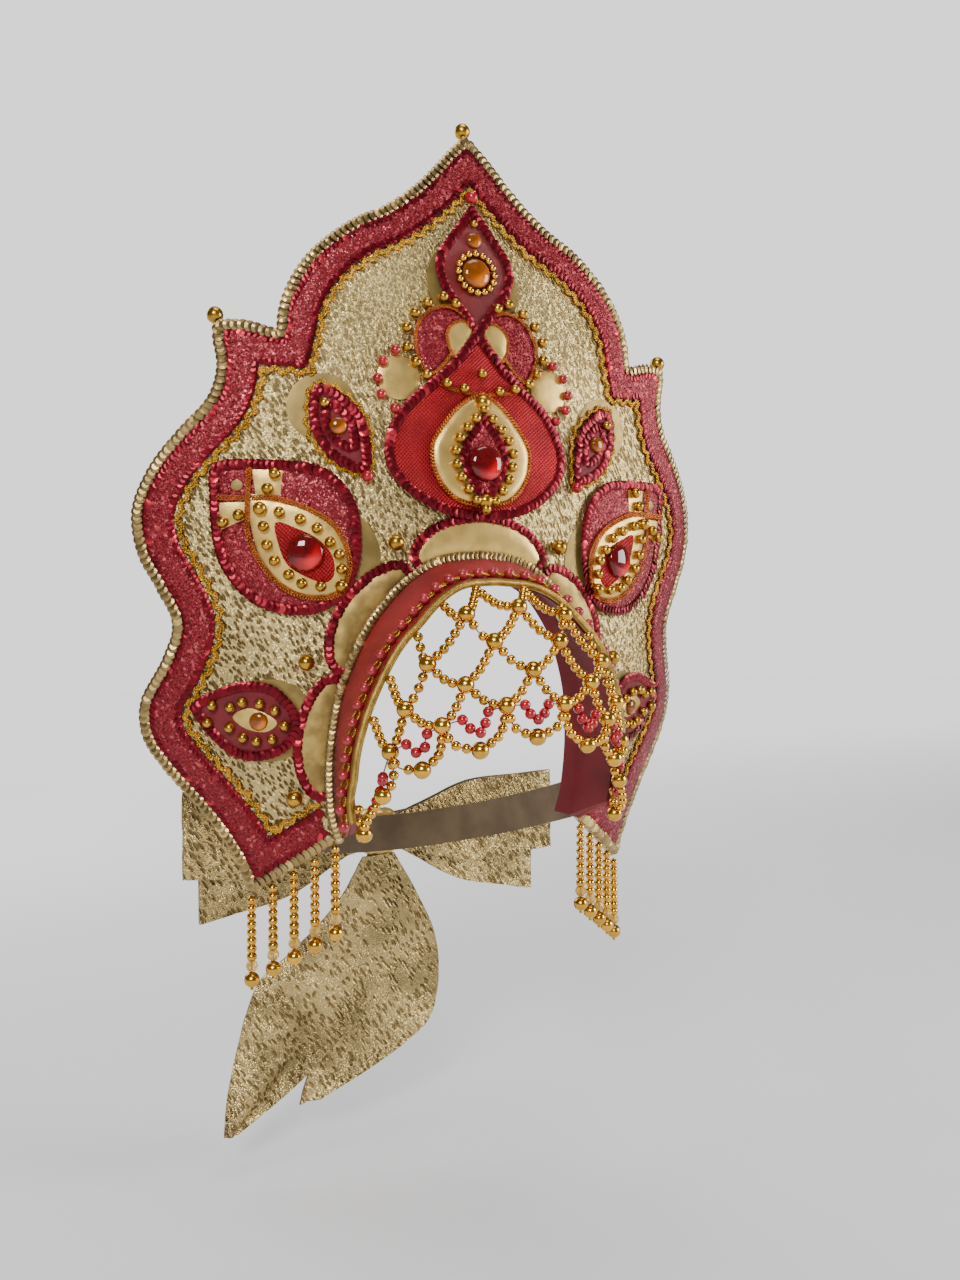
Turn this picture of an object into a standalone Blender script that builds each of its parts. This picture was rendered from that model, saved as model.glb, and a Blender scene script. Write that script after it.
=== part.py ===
"""A festive kokoshnik headdress: a bent crest board with beaded appliques, a brow band with a bead net,
bead pendants under the wings, and a leatherette bow at the nape.

Metres, +Z up. The wearer faces -Y. The origin is where the crown of the brow band sits on the head.
"""
import math

import bmesh
import bpy
from mathutils import Vector
from mathutils.geometry import delaunay_2d_cdt

# The crest board, seen from the front
CREST_HALF = 0.195
CREST_TOP = 0.267
CREST_DROP = 0.197
BOARD_WALL = 0.005
# How far the board's sides bend back at the height of its tip and of its wing tips
SWEEP_HIGH = 0.0232
SWEEP_LOW = 0.0976
# How far the board's middle leans back at its tip and at its foot
LEAN_HIGH = 0.0208
LEAN_LOW = 0.0121

# The trims along the board's edge
EDGE_WIDE = 0.0065
BORDER_WIDE = 0.0155
BRAID_WIDE = 0.005
EDGE_RISE = 0.0026
BORDER_RISE = 0.0022
BRAID_RISE = 0.0016
TIP_BEAD = 0.0084

# The arch that the brow shows through, and the band that stands forward from it
ARCH_HALF = 0.0875
ARCH_CROWN = 0.005
ARCH_DROP = 0.161
ARCH_TRIM = 0.005
BAND_WALL = 0.002
BAND_REACH = 0.040
BAND_INSET = 0.014
BAND_BRAID = 0.008
CORD_THICK = 0.0046
LINING_WALL = 0.0015
LINING_PAD = 0.009

# The applique in the middle and its stones
MOTIF_HALF = 0.064
APPLIQUE = 0.0026
PATCH = 0.0016
RUBY = 0.0215
RUBY_RISE = 0.0052
AMBER = 0.0185
AMBER_RING = 0.0275
AMBER_RISE = 0.0046
SMALL_AMBER = 0.0100
SMALL_RISE = 0.0032

# The bead net over the brow
NET_REACH = 0.0705
NET_DROP = 0.0985
NET_BEAD = 0.0100
NET_STRAND = 0.0044
NET_SAG = 0.0035

# The pendants under the wings
PENDANT = 0.050
PENDANT_STRAND = 0.0050
PENDANT_BEAD = 0.0095

# The nape strap and the bow
STRAP_WIDE = 0.026
STRAP_LAP = 0.006
CLOTH = 0.0016
NAPE_BACK = 0.165
NAPE_DROP = 0.186
KNOT_WIDE = 0.026
KNOT_HIGH = 0.034
KNOT_THICK = 0.020
LOOP_REACH = 0.142
LOOP_HIGH = 0.060
LOOP_OPEN = 0.014
TAIL_DROP = 0.205
TAIL_STEP = 0.005
TAIL_WAVE = 0.004

GAP = 0.0003
LIFT = 0.0005
GRID_ACROSS = 0.020
GRID_UP = 0.036
EDGE_STEP = 0.019
NOTCH_REACH = 1.25

TRIM = EDGE_WIDE + BORDER_WIDE + BRAID_WIDE
FIELD_HALF = CREST_HALF - TRIM

# The board's outline from its tip to the right wing tip: shares of CREST_HALF across, and of CREST_TOP
# or CREST_DROP up. A stretch ends where the outline turns a corner.
DOME = (
    (0.0, 1.0), (0.067, 0.951), (0.169, 0.869), (0.277, 0.805), (0.390, 0.760),
    (0.492, 0.700), (0.554, 0.644), (0.595, 0.584), (0.611, 0.536), (0.613, 0.507),
)
SHOULDER = ((0.613, 0.507), (0.703, 0.524), (0.790, 0.522))
SIDE = (
    (0.790, 0.522), (0.790, 0.483), (0.779, 0.423), (0.805, 0.356), (0.882, 0.288),
    (0.954, 0.213), (0.998, 0.124), (0.984, 0.030), (0.933, -0.066), (0.887, -0.173),
    (0.913, -0.284), (0.964, -0.406), (0.954, -0.518), (0.892, -0.619), (0.805, -0.726),
    (0.738, -0.822), (0.687, -0.919), (0.667, -1.0),
)

# Beads on the upper corners: the corner, the way out of it, and how far out in widths of the bead
TIP_BEADS = (("tip_bead_top", DOME[0], (0.0, 1.0), 0.46), ("tip_bead", SHOULDER[-1], (0.6, 0.8), 0.41))

# The arch's right half from its crown: shares of ARCH_HALF across and of the arch's height down
ARCH = (
    (0.0, 0.0), (0.286, 0.018), (0.514, 0.084), (0.709, 0.199), (0.834, 0.313),
    (0.949, 0.482), (0.994, 0.648), (1.0, 0.777), (0.977, 0.910), (0.926, 1.0),
)

# The band's front edge against the arch: how far along, shares of BAND_INSET inward and of BAND_REACH
# forward, and how far its ends are cut back, as a share of BAND_REACH
BAND = (
    (0.0, 1.0, 0.47, 0.0), (0.12, 0.97, 0.55, 0.0), (0.24, 0.86, 0.74, 0.0), (0.35, 0.71, 0.90, 0.0),
    (0.45, 0.42, 0.96, 0.0), (0.59, 0.21, 1.0, 0.02), (0.72, 0.0, 0.98, 0.08), (0.85, -0.08, 0.90, 0.20),
    (1.0, -0.50, 0.80, 0.40),
)

# Petals round the arch: where along it, half length along it, and rise from it
PETALS = (
    ("petal_top", 0.0, 0.196, 0.0245),
    ("petal_high", 0.372, 0.166, 0.0205),
    ("petal_low", 0.717, 0.166, 0.0190),
)

# Middle motif, right half: shares of MOTIF_HALF across and of CREST_TOP up
ALMOND = (
    (0.0, 0.800), (0.14, 0.775), (0.27, 0.738), (0.36, 0.700), (0.36, 0.665),
    (0.30, 0.620), (0.20, 0.590), (0.0, 0.562),
)
LOBE = (
    (0.10, 0.548), (0.26, 0.580), (0.46, 0.572), (0.60, 0.535), (0.63, 0.485),
    (0.56, 0.440), (0.46, 0.428), (0.28, 0.475),
)
DISC = (0.785, 0.414, 0.0130)
ONION = (
    (0.0, 0.485), (0.24, 0.448), (0.48, 0.402), (0.72, 0.350), (0.88, 0.282), (0.87, 0.215),
    (0.66, 0.160), (0.36, 0.125), (0.0, 0.111),
)
TEARDROP = (
    (0.0, 0.389), (0.20, 0.362), (0.38, 0.315), (0.50, 0.262), (0.46, 0.200), (0.28, 0.150), (0.0, 0.134),
)
LOZENGE = ((0.0, 0.328), (0.20, 0.252), (0.10, 0.180), (0.0, 0.150))
RUBY_UP = 0.228
AMBER_UP = 0.664

# Small leaf, right: shares of CREST_HALF across and of CREST_TOP up
SMALL_LEAF = (
    (0.497, 0.377), (0.508, 0.362), (0.511, 0.330), (0.503, 0.290), (0.467, 0.246), (0.415, 0.219),
    (0.364, 0.213), (0.364, 0.270), (0.379, 0.315), (0.415, 0.348), (0.461, 0.374),
)
SMALL_STONE = (0.443, 0.300)

# Big and low leaves, right: across as 0 to 1 over the arch and 1 to 2 over the wing's field
BIG_LEAF = (
    (1.785, 0.208), (1.53, 0.215), (1.17, 0.207), (1.0, 0.178), (0.90, 0.128), (0.87, 0.062),
    (0.885, 0.0), (0.945, -0.070), (1.06, -0.116), (1.22, -0.134), (1.43, -0.120), (1.60, -0.074),
    (1.74, 0.012), (1.79, 0.086), (1.80, 0.150),
)
BIG_DROP = (
    (1.60, 0.150), (1.38, 0.135), (1.19, 0.124), (1.03, 0.090), (0.935, 0.045), (0.915, -0.010),
    (0.945, -0.066), (1.10, -0.094), (1.26, -0.088), (1.39, -0.046), (1.50, 0.014), (1.56, 0.080),
)
BIG_STONE = (1.205, 0.0245)
LOW_LEAF = (
    (1.89, -0.420), (1.78, -0.386), (1.65, -0.362), (1.53, -0.356), (1.41, -0.368), (1.33, -0.398),
    (1.265, -0.435), (1.25, -0.470), (1.26, -0.505), (1.33, -0.542), (1.44, -0.562), (1.56, -0.564),
    (1.66, -0.545), (1.76, -0.503), (1.83, -0.462),
)
LOW_STONE = (1.485, -0.460)
LOW_AMBER = 0.0110

# The net's beads on its right half: row letter, column, shares of ARCH_HALF across and NET_DROP down
NET_BEADS = (
    ("a", 0, 0.0, 0.256), ("a", 2, 0.36, 0.298), ("b", 1, 0.237, 0.453), ("b", 3, 0.638, 0.578),
    ("c", 0, 0.0, 0.615), ("c", 2, 0.454, 0.691), ("c", 4, 0.776, 0.828), ("d", 1, 0.209, 0.808),
    ("d", 3, 0.600, 0.915), ("d", 5, 0.853, 1.066), ("e", 0, 0.0, 0.989), ("e", 2, 0.386, 1.051),
    ("e", 4, 0.702, 1.160), ("e", 6, 0.880, 1.319), ("f", 7, 0.945, 1.550),
)
# Where strands leave the band's front edge: column, and how far along the arch
NET_TIES = ((1, 0.075), (3, 0.205), (4, 0.335), (5, 0.455), (6, 0.590), (7, 0.950))
# Which rows and columns the strands join, on the right half; t is a tie
NET_STRANDS = (
    ("t", 1, "a", 0), ("t", 1, "a", 2), ("t", 3, "a", 2), ("a", 0, "b", 1), ("a", 2, "b", 1),
    ("a", 2, "b", 3), ("t", 4, "b", 3), ("b", 1, "c", 0), ("b", 1, "c", 2), ("b", 3, "c", 2),
    ("b", 3, "c", 4), ("t", 5, "c", 4), ("c", 0, "d", 1), ("c", 2, "d", 1), ("c", 2, "d", 3),
    ("c", 4, "d", 3), ("c", 4, "d", 5), ("t", 6, "d", 5), ("d", 1, "e", 0), ("d", 1, "e", 2),
    ("d", 3, "e", 2), ("d", 3, "e", 4), ("d", 5, "e", 4), ("d", 5, "e", 6), ("f", 7, "e", 6),
    ("t", 7, "f", 7),
)

# The bow's loops: shares of LOOP_REACH out and of LOOP_HIGH up at the outer end, and which lies behind
LOOPS = (("bow_loop_high", (1.0, 0.13), -0.62), ("bow_loop_low", (0.91, -0.43), 0.62))
# A loop's fold seen from above: how far out, and shares of half its depth
FOLD = (
    (0.0, 0.30), (0.16, 0.62), (0.45, 1.0), (0.80, 0.80), (0.97, 0.42), (1.0, 0.0),
    (0.97, -0.42), (0.80, -0.80), (0.45, -1.0), (0.16, -0.62), (0.0, -0.30),
)

# Tails, left edge and right edge of the ribbon: shares of LOOP_REACH across and of TAIL_DROP down
FRONT_TAIL = (
    (-0.09, 0.05, 0.0), (-0.21, 0.085, 0.17), (-0.43, 0.09, 0.34), (-0.60, 0.085, 0.44),
    (-0.68, 0.00, 0.56), (-0.74, -0.20, 0.72), (-0.79, -0.45, 0.87), (-0.81, -0.74, 1.0),
)
BACK_TAIL = (
    (-0.05, 0.10, 0.0), (-0.10, 0.24, 0.17), (-0.15, 0.36, 0.36), (-0.22, 0.38, 0.54),
    (-0.30, 0.32, 0.70), (-0.36, 0.05, 0.83), (-0.42, -0.30, 0.94),
)


def material(name, colour, roughness=0.5, metallic=0.0):
    made = bpy.data.materials.new(name)
    made.use_nodes = True
    shader = made.node_tree.nodes["Principled BSDF"]
    shader.inputs["Base Color"].default_value = (*colour, 1.0)
    shader.inputs["Roughness"].default_value = roughness
    shader.inputs["Metallic"].default_value = metallic
    return made


def solid(name, points, faces, finish, smooth=False):
    """A named object of one closed mesh with its faces pointing out."""
    mesh = bpy.data.meshes.new(name)
    mesh.from_pydata([tuple(p) for p in points], [], faces)
    build = bmesh.new()
    build.from_mesh(mesh)
    bmesh.ops.remove_doubles(build, verts=build.verts, dist=1e-6)
    bmesh.ops.recalc_face_normals(build, faces=build.faces)
    build.to_mesh(mesh)
    build.free()
    if smooth:
        mesh.shade_smooth()
        mesh.set_sharp_from_angle(angle=math.radians(50))
    mesh.materials.append(finish)
    made = bpy.data.objects.new(name, mesh)
    bpy.context.scene.collection.objects.link(made)
    return made


def up(share):
    return share * (CREST_TOP if share > 0 else CREST_DROP)


def crest_place(row):
    return (row[0] * CREST_HALF, up(row[1]))


def motif_place(row):
    return (row[0] * MOTIF_HALF, up(row[1]))


def field_place(row):
    """Across runs 0 to 1 over the arch and 1 to 2 from the arch to the inner side of the trims."""
    over = max(0.0, row[0] - 1)
    return (min(row[0], 1.0) * ARCH_HALF + over * (FIELD_HALF - ARCH_HALF), up(row[1]))


def arch_place(row):
    return (row[0] * ARCH_HALF, ARCH_CROWN - row[1] * (ARCH_CROWN + ARCH_DROP))


def between(a, b, share):
    return a + (b - a) * share


def read(rows, along, column):
    """A table's column, read between its rows at a place along."""
    for low, high in zip(rows, rows[1:]):
        if along <= high[0]:
            return between(low[column], high[column], (along - low[0]) / (high[0] - low[0]))
    return rows[-1][column]


def bend(x, z):
    """How far back the board's front lies."""
    low = (z + CREST_DROP) / (CREST_TOP + CREST_DROP)
    lean = LEAN_HIGH * (z / CREST_TOP) ** 2 if z > 0 else LEAN_LOW * (z / CREST_DROP) ** 2
    return between(SWEEP_LOW, SWEEP_HIGH, low) * (x / CREST_HALF) ** 2 + lean


def board_normal(x, z):
    step = 0.001
    slope_x = (bend(x + step, z) - bend(x - step, z)) / (2 * step)
    slope_z = (bend(x, z + step) - bend(x, z - step)) / (2 * step)
    return Vector((slope_x, -1.0, slope_z)).normalized()


def on_board(x, z, height=0.0):
    """The point that stands this high in front of the board's face."""
    return Vector((x, bend(x, z), z)) + height * board_normal(x, z)


def curve_through(points, closed=False, step=EDGE_STEP):
    """Points at even steps along a smooth curve through the given ones."""
    n = len(points)
    spans = n if closed else n - 1
    fine = []
    for i in range(spans):
        if closed:
            a, b, c, d = (Vector(points[(i + k) % n]) for k in (-1, 0, 1, 2))
        else:
            b, c = Vector(points[i]), Vector(points[i + 1])
            a = Vector(points[i - 1]) if i else 2 * b - c
            d = Vector(points[i + 2]) if i + 2 < n else 2 * c - b
        for k in range(8):
            t = k / 8
            fine.append(0.5 * (2 * b + (c - a) * t + (2 * a - 5 * b + 4 * c - d) * t**2
                               + (3 * b - 3 * c + d - a) * t**3))
    fine.append(Vector(points[0] if closed else points[-1]))
    lengths = [0.0]
    for a, b in zip(fine, fine[1:]):
        lengths.append(lengths[-1] + (b - a).length)
    count = max(2, round(lengths[-1] / step))
    result = []
    k = 0
    for i in range(count + 1):
        target = lengths[-1] * i / count
        while k < len(fine) - 2 and lengths[k + 1] < target:
            k += 1
        share = (target - lengths[k]) / max(1e-9, lengths[k + 1] - lengths[k])
        result.append(fine[k].lerp(fine[k + 1], min(1.0, share)))
    return result[:-1] if closed else result


def mirrored(half):
    """A half outline from the middle plane, made whole from left to right."""
    left = [Vector((-p.x, p.y)) for p in reversed(half)]
    return left[:-1] + list(half) if abs(half[0].x) < 1e-9 else left + list(half)


def edge_half():
    """The board's outline from its tip to the arch's end, on the right."""
    points = []
    for stretch in (DOME, SHOULDER, SIDE):
        points += curve_through([crest_place(row) for row in stretch])[:-1]
    tip, end = Vector(crest_place(SIDE[-1])), Vector(arch_place(ARCH[-1]))
    count = max(2, round((end - tip).length / EDGE_STEP))
    return points + [tip.lerp(end, k / count) for k in range(count + 1)]


def distance_to(point, line):
    best = 1.0
    for a, b in zip(line, line[1:]):
        run = b - a
        share = max(0.0, min(1.0, (point - a).dot(run) / max(1e-12, run.dot(run))))
        best = min(best, (a + run * share - point).length)
    return best


def crossing(a, b, c, d):
    """Where the line through a and b meets the line through c and d."""
    first, second = b - a, d - c
    turn = first.x * second.y - first.y * second.x
    if abs(turn) < 1e-9:
        return None
    share = ((c - a).x * second.y - (c - a).y * second.x) / turn
    return a + first * share


def inset_edge(line, depth):
    """The outline moved in by depth, with its outer corners kept sharp."""
    if depth == 0:
        return list(line)
    moved = []
    for i, point in enumerate(line):
        before = (point - line[i - 1]).normalized() if i else (line[1] - point).normalized()
        after = (line[i + 1] - point).normalized() if i < len(line) - 1 else before
        first, second = Vector((before.y, -before.x)), Vector((after.y, -after.x))
        shift = (first + second) / (1 + first.dot(second))
        if before.cross(after) > 0:
            shift *= min(1.0, NOTCH_REACH / shift.length)
        moved.append(point + shift * depth)
    kept = [i for i, point in enumerate(moved) if distance_to(point, line) > 0.985 * depth]
    result = [moved[kept[0]]]
    for low, high in zip(kept, kept[1:]):
        if high > low + 1:
            meet = crossing(moved[low], moved[low + 1], moved[high], moved[high - 1])
            if meet and distance_to(meet, line) > 0.95 * depth:
                result.append(meet)
        result.append(moved[high])
    apart = [result[0]]
    for point in result[1:]:
        if (point - apart[-1]).length > 0.06 * EDGE_STEP:
            apart.append(point)
    return apart


def ended_at(line, side):
    """The moved outline with both ends on the upright lines at side."""
    def clip(points):
        while len(points) > 2 and abs(points[1].x) < side and abs(points[0].x) < side:
            points = points[1:]
        a, b = points[1], points[0]
        reach = math.copysign(side, a.x)
        return [a + (b - a) * (reach - a.x) / (b.x - a.x)] + points[1:]
    line = clip(list(line))
    return clip(line[::-1])[::-1]


def inside(point, loop):
    odd = False
    for a, b in zip(loop, loop[1:] + loop[:1]):
        if (a.y > point.y) != (b.y > point.y):
            if point.x < a.x + (point.y - a.y) * (b.x - a.x) / (b.y - a.y):
                odd = not odd
    return odd


def plate(name, loop, low, high, finish):
    """A plate over the loop (x, z) that follows the board, from low to high in front of its face."""
    loop = [Vector(p) for p in loop]
    area = sum(a.x * b.y - b.x * a.y for a, b in zip(loop, loop[1:] + loop[:1]))
    if area < 0:
        loop = loop[::-1]
    closed = loop + loop[:1]
    extra = []
    left, right = min(p.x for p in loop), max(p.x for p in loop)
    foot, head = min(p.y for p in loop), max(p.y for p in loop)
    for i in range(math.ceil(left / GRID_ACROSS), math.floor(right / GRID_ACROSS) + 1):
        for j in range(math.ceil(foot / GRID_UP), math.floor(head / GRID_UP) + 1):
            point = Vector((i * GRID_ACROSS, j * GRID_UP))
            if inside(point, loop) and distance_to(point, closed) > 0.3 * GRID_ACROSS:
                extra.append(point)
    n = len(loop)
    edges = [(i, (i + 1) % n) for i in range(n)]
    flat, _, faces, *_ = delaunay_2d_cdt(loop + extra, edges, [list(range(n))], 1, 1e-7)
    front = [on_board(p.x, p.y, high) for p in flat]
    back = [on_board(p.x, p.y, low) for p in flat]
    count = len(flat)
    walls = {}
    for face in faces:
        for a, b in zip(face, face[1:] + face[:1]):
            walls[(a, b)] = walls.get((b, a), 0) + 1
            if (b, a) in walls:
                walls.pop((a, b))
                walls.pop((b, a))
    made = [tuple(face) for face in faces]
    made += [tuple(i + count for i in reversed(face)) for face in faces]
    made += [(b, a, a + count, b + count) for a, b in walls]
    return solid(name, front + back, made, finish)


def turned(name, x, z, base, profile, finish, sides=12):
    """A round piece on the board at (x, z), turned from a profile of (radius, height)."""
    normal = board_normal(x, z)
    across = Vector((1, 0, 0)).cross(normal).cross(normal).normalized()
    along = normal.cross(across)
    foot = on_board(x, z, base)
    points = [foot + normal * profile[0][1]]
    for radius, height in profile[1:-1]:
        for k in range(sides):
            turn = 2 * math.pi * k / sides
            points.append(foot + normal * height
                          + (across * math.cos(turn) + along * math.sin(turn)) * radius)
    points.append(foot + normal * profile[-1][1])
    rows = len(profile) - 2
    faces = []
    for k in range(sides):
        after = (k + 1) % sides
        faces.append((0, 1 + k, 1 + after))
        for r in range(rows - 1):
            a, b = 1 + r * sides + k, 1 + r * sides + after
            faces.append((a, a + sides, b + sides, b))
        last = 1 + (rows - 1) * sides
        faces.append((last + after, last + k, len(points) - 1))
    return solid(name, points, faces, finish, smooth=True)


def cabochon(width, rise):
    """The profile of a domed stone with a small flat table, from its top to its flat back."""
    half = width / 2
    return ((0, rise), (0.30 * half, rise), (0.62 * half, 0.86 * rise), (0.88 * half, 0.52 * rise),
            (half, 0.16 * rise), (half, 0), (0, 0))


def ball(centre, width, sides=10, rings=3):
    """Points and faces of a bead."""
    points = [centre + Vector((0, 0, width / 2))]
    for r in range(1, rings):
        tilt = math.pi * r / rings
        for k in range(sides):
            turn = 2 * math.pi * (k + 0.5 * r) / sides
            points.append(centre + width / 2 * Vector((
                math.sin(tilt) * math.cos(turn), math.sin(tilt) * math.sin(turn), math.cos(tilt))))
    points.append(centre - Vector((0, 0, width / 2)))
    faces = []
    for k in range(sides):
        after = (k + 1) % sides
        faces.append((0, 1 + k, 1 + after))
        for r in range(rings - 2):
            a, b = 1 + r * sides + k, 1 + r * sides + after
            faces += [(a, a + sides, b), (b, a + sides, b + sides)]
        last = 1 + (rings - 2) * sides
        faces.append((last + after, last + k, len(points) - 1))
    return points, faces


def tube(route, width, sides=5):
    """Points and faces of a closed tube along a route."""
    points, faces = [], []
    for i, point in enumerate(route):
        ahead = route[min(i + 1, len(route) - 1)] - route[max(i - 1, 0)]
        ahead.normalize()
        across = ahead.cross(Vector((0, 1, 0.01))).normalized()
        other = across.cross(ahead)
        for k in range(sides):
            turn = 2 * math.pi * (k + 0.25) / sides
            points.append(point + (across * math.cos(turn) + other * math.sin(turn)) * width / 2)
    for i in range(len(route) - 1):
        for k in range(sides):
            a, b = i * sides + k, i * sides + (k + 1) % sides
            faces += [(a, b, b + sides), (a, b + sides, a + sides)]
    faces.append(tuple(reversed(range(sides))))
    faces.append(tuple(range(len(points) - sides, len(points))))
    return points, faces


def fused(name, first, others, finish):
    """One body of overlapping shapes, joined by an exact union."""
    body = solid(name, *first, finish, smooth=True)
    helpers = bpy.data.collections.new(name + "_helpers")
    bpy.context.scene.collection.children.link(helpers)
    for i, shape in enumerate(others):
        helper = solid(f"{name}_helper{i}", *shape, finish)
        helper.hide_render = True
        helper.display_type = "WIRE"
        bpy.context.scene.collection.objects.unlink(helper)
        helpers.objects.link(helper)
    join = body.modifiers.new("join", "BOOLEAN")
    join.operation = "UNION"
    join.operand_type = "COLLECTION"
    join.collection = helpers
    return body


def slab(name, grid, thick, finish, ring=False):
    """A closed sheet over a grid of points, thickened along its normals; ring joins last row to first."""
    rows, columns = len(grid), len(grid[0])
    normals = []
    for i in range(rows):
        for j in range(columns):
            if ring:
                along = grid[(i + 1) % rows][j] - grid[i - 1][j]
            else:
                along = grid[min(i + 1, rows - 1)][j] - grid[max(i - 1, 0)][j]
            across = grid[i][min(j + 1, columns - 1)] - grid[i][max(j - 1, 0)]
            normals.append(along.cross(across).normalized())
    front = [p for row in grid for p in row]
    back = [p + n * thick for p, n in zip(front, normals)]
    count = rows * columns
    faces = []
    for i in range(rows if ring else rows - 1):
        for j in range(columns - 1):
            a, b = i * columns + j, (i + 1) % rows * columns + j
            faces += [(a, a + 1, b + 1), (a, b + 1, b)]
            faces += [(a + count, b + 1 + count, a + 1 + count), (a + count, b + count, b + 1 + count)]
        for j in (0, columns - 1):
            a, b = i * columns + j, (i + 1) % rows * columns + j
            faces.append((a, b, b + count, a + count))
    if not ring:
        for i in (0, rows - 1):
            for j in range(columns - 1):
                a = i * columns + j
                faces.append((a, a + 1, a + 1 + count, a + count))
    return solid(name, front + back, faces, finish, smooth=True)


def arch_line(step=EDGE_STEP):
    """The whole arch from its left end over the crown to its right end."""
    half = curve_through([arch_place(row) for row in ARCH], step=step)
    return mirrored(half)


def arch_shares(line):
    """How far each point of the arch lies from the crown, as a share of half its length."""
    lengths = [0.0]
    for a, b in zip(line, line[1:]):
        lengths.append(lengths[-1] + (b - a).length)
    return [2 * length / lengths[-1] - 1 for length in lengths]


def arch_outward(line):
    """The arch's outward normal at each of its points."""
    result = []
    for i in range(len(line)):
        run = line[min(i + 1, len(line) - 1)] - line[max(i - 1, 0)]
        result.append(Vector((-run.y, run.x)).normalized())
    return result


def arch_moved(line, out):
    return [p + n * out for p, n in zip(line, arch_outward(line))]


def band_front(line):
    """The band's front edge, point for point along the arch."""
    result = []
    for point, share, out in zip(line, arch_shares(line), arch_outward(line)):
        inset = BAND_INSET * read(BAND, abs(share), 1)
        reach = BAND_REACH * read(BAND, abs(share), 2)
        moved = point - out * inset + Vector((0, BAND_REACH * read(BAND, abs(share), 3)))
        result.append(Vector((moved.x, bend(point.x, point.y) - reach, moved.y)))
    return result


def make_board(finish):
    edge = inset_edge(mirrored(edge_half()), 0.0005)
    arch = arch_line()
    return plate("crest_board", edge + arch[::-1], -BOARD_WALL, 0.0, finish)


def make_trims(gold, red, braid):
    """Raised strips along the board's edge, each inside the last."""
    whole = mirrored(edge_half())
    foot = arch_place(ARCH[-1])[0]
    depths = (0.0, EDGE_WIDE, EDGE_WIDE + BORDER_WIDE, TRIM)
    ends = [min(ARCH_HALF, foot + depth / 2) + ARCH_TRIM + 4 * GAP for depth in depths]
    lines = [inset_edge(whole, depth) for depth in depths]
    strips = (
        ("edge_sequins", EDGE_RISE, gold), ("border_band", BORDER_RISE, red), ("border_braid", BRAID_RISE, braid),
    )
    for i, (name, rise, finish) in enumerate(strips):
        near = ended_at(lines[i], ends[i])
        far = ended_at(inset_edge(lines[i + 1], -GAP), ends[i + 1])
        plate(name, near + far[::-1], LIFT, LIFT + rise, finish)


def make_tip_beads(finish):
    """One bead sits on each of the three upper corners."""
    for name, row, out, seat in TIP_BEADS:
        x, z = crest_place(row)
        spot = Vector((x, z)) + Vector(out) * seat * TIP_BEAD
        for side, label in ((1, "_right"), (-1, "_left")):
            if x or side > 0:
                centre = on_board(side * spot.x, spot.y, -BOARD_WALL / 2)
                solid(name + (label if x else ""), *ball(centre, TIP_BEAD), finish, smooth=True)


def make_petals(finish):
    """Half-round patches round the arch, the two side ones on both sides."""
    line = arch_line(step=0.009)
    shares, outs = arch_shares(line), arch_outward(line)
    start = ARCH_TRIM + 4 * GAP
    for name, middle, half, rise in PETALS:
        for side in ((1,) if middle == 0 else (1, -1)):
            low, high = [], []
            for point, share, out in zip(line, shares, outs):
                spot = (side * share - middle) / half
                if abs(spot) < 0.985:
                    low.append(point + out * start)
                    high.append(point + out * (start + (rise - start) * math.sqrt(1 - spot**2)))
            label = name if middle == 0 else f"{name}_{'right' if side > 0 else 'left'}"
            plate(label, low + high[::-1], LIFT, LIFT + PATCH, finish)


def pair(name, rows, place, low, high, finish, step=0.011):
    """The same closed outline as a plate on the right and, mirrored, on the left."""
    loop = curve_through([place(row) for row in rows], closed=True, step=step)
    for side, label in ((1, "right"), (-1, "left")):
        plate(f"{name}_{label}", [(side * p.x, p.y) for p in loop], low, high, finish)


def make_motif(satin, glitter, patch, mesh_red, ruby, amber):
    first, second = LIFT + APPLIQUE, LIFT + 2 * APPLIQUE
    third = second + LIFT + PATCH
    for name, rows, low, high, finish in (
        ("top_almond", ALMOND, LIFT, first, satin),
        ("onion_panel", ONION, LIFT, first, mesh_red),
        ("teardrop", TEARDROP, first + LIFT, second + LIFT, patch),
        ("lozenge", LOZENGE, second + 2 * LIFT, third + LIFT, glitter),
    ):
        half = curve_through([motif_place(row) for row in rows], step=0.011)
        whole = mirrored(half)
        plate(name, whole[:-1], low, high, finish)
    pair("lobe", LOBE, motif_place, LIFT, first, glitter)
    across, upward, radius = DISC
    x, z = motif_place((across, upward))
    turns = [math.pi * k / 6 for k in range(12)]
    for side, label in ((1, "right"), (-1, "left")):
        loop = [(side * (x + radius * math.cos(turn)), z + radius * math.sin(turn)) for turn in turns]
        plate(f"side_disc_{label}", loop, LIFT, LIFT + PATCH, patch)
    turned("ruby_centre", 0, up(RUBY_UP), third + 2 * LIFT, cabochon(RUBY, RUBY_RISE), ruby)
    ring, stone = AMBER_RING / 2, AMBER / 2
    profile = ((0, AMBER_RISE), (0.3 * stone, AMBER_RISE), (0.66 * stone, 0.86 * AMBER_RISE),
               (stone, 0.4 * AMBER_RISE), (0.5 * (ring + stone), 0.6 * AMBER_RISE),
               (ring, 0.4 * AMBER_RISE), (ring, 0), (0, 0))
    turned("amber_centre", 0, up(AMBER_UP), first + LIFT, profile, amber)


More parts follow.
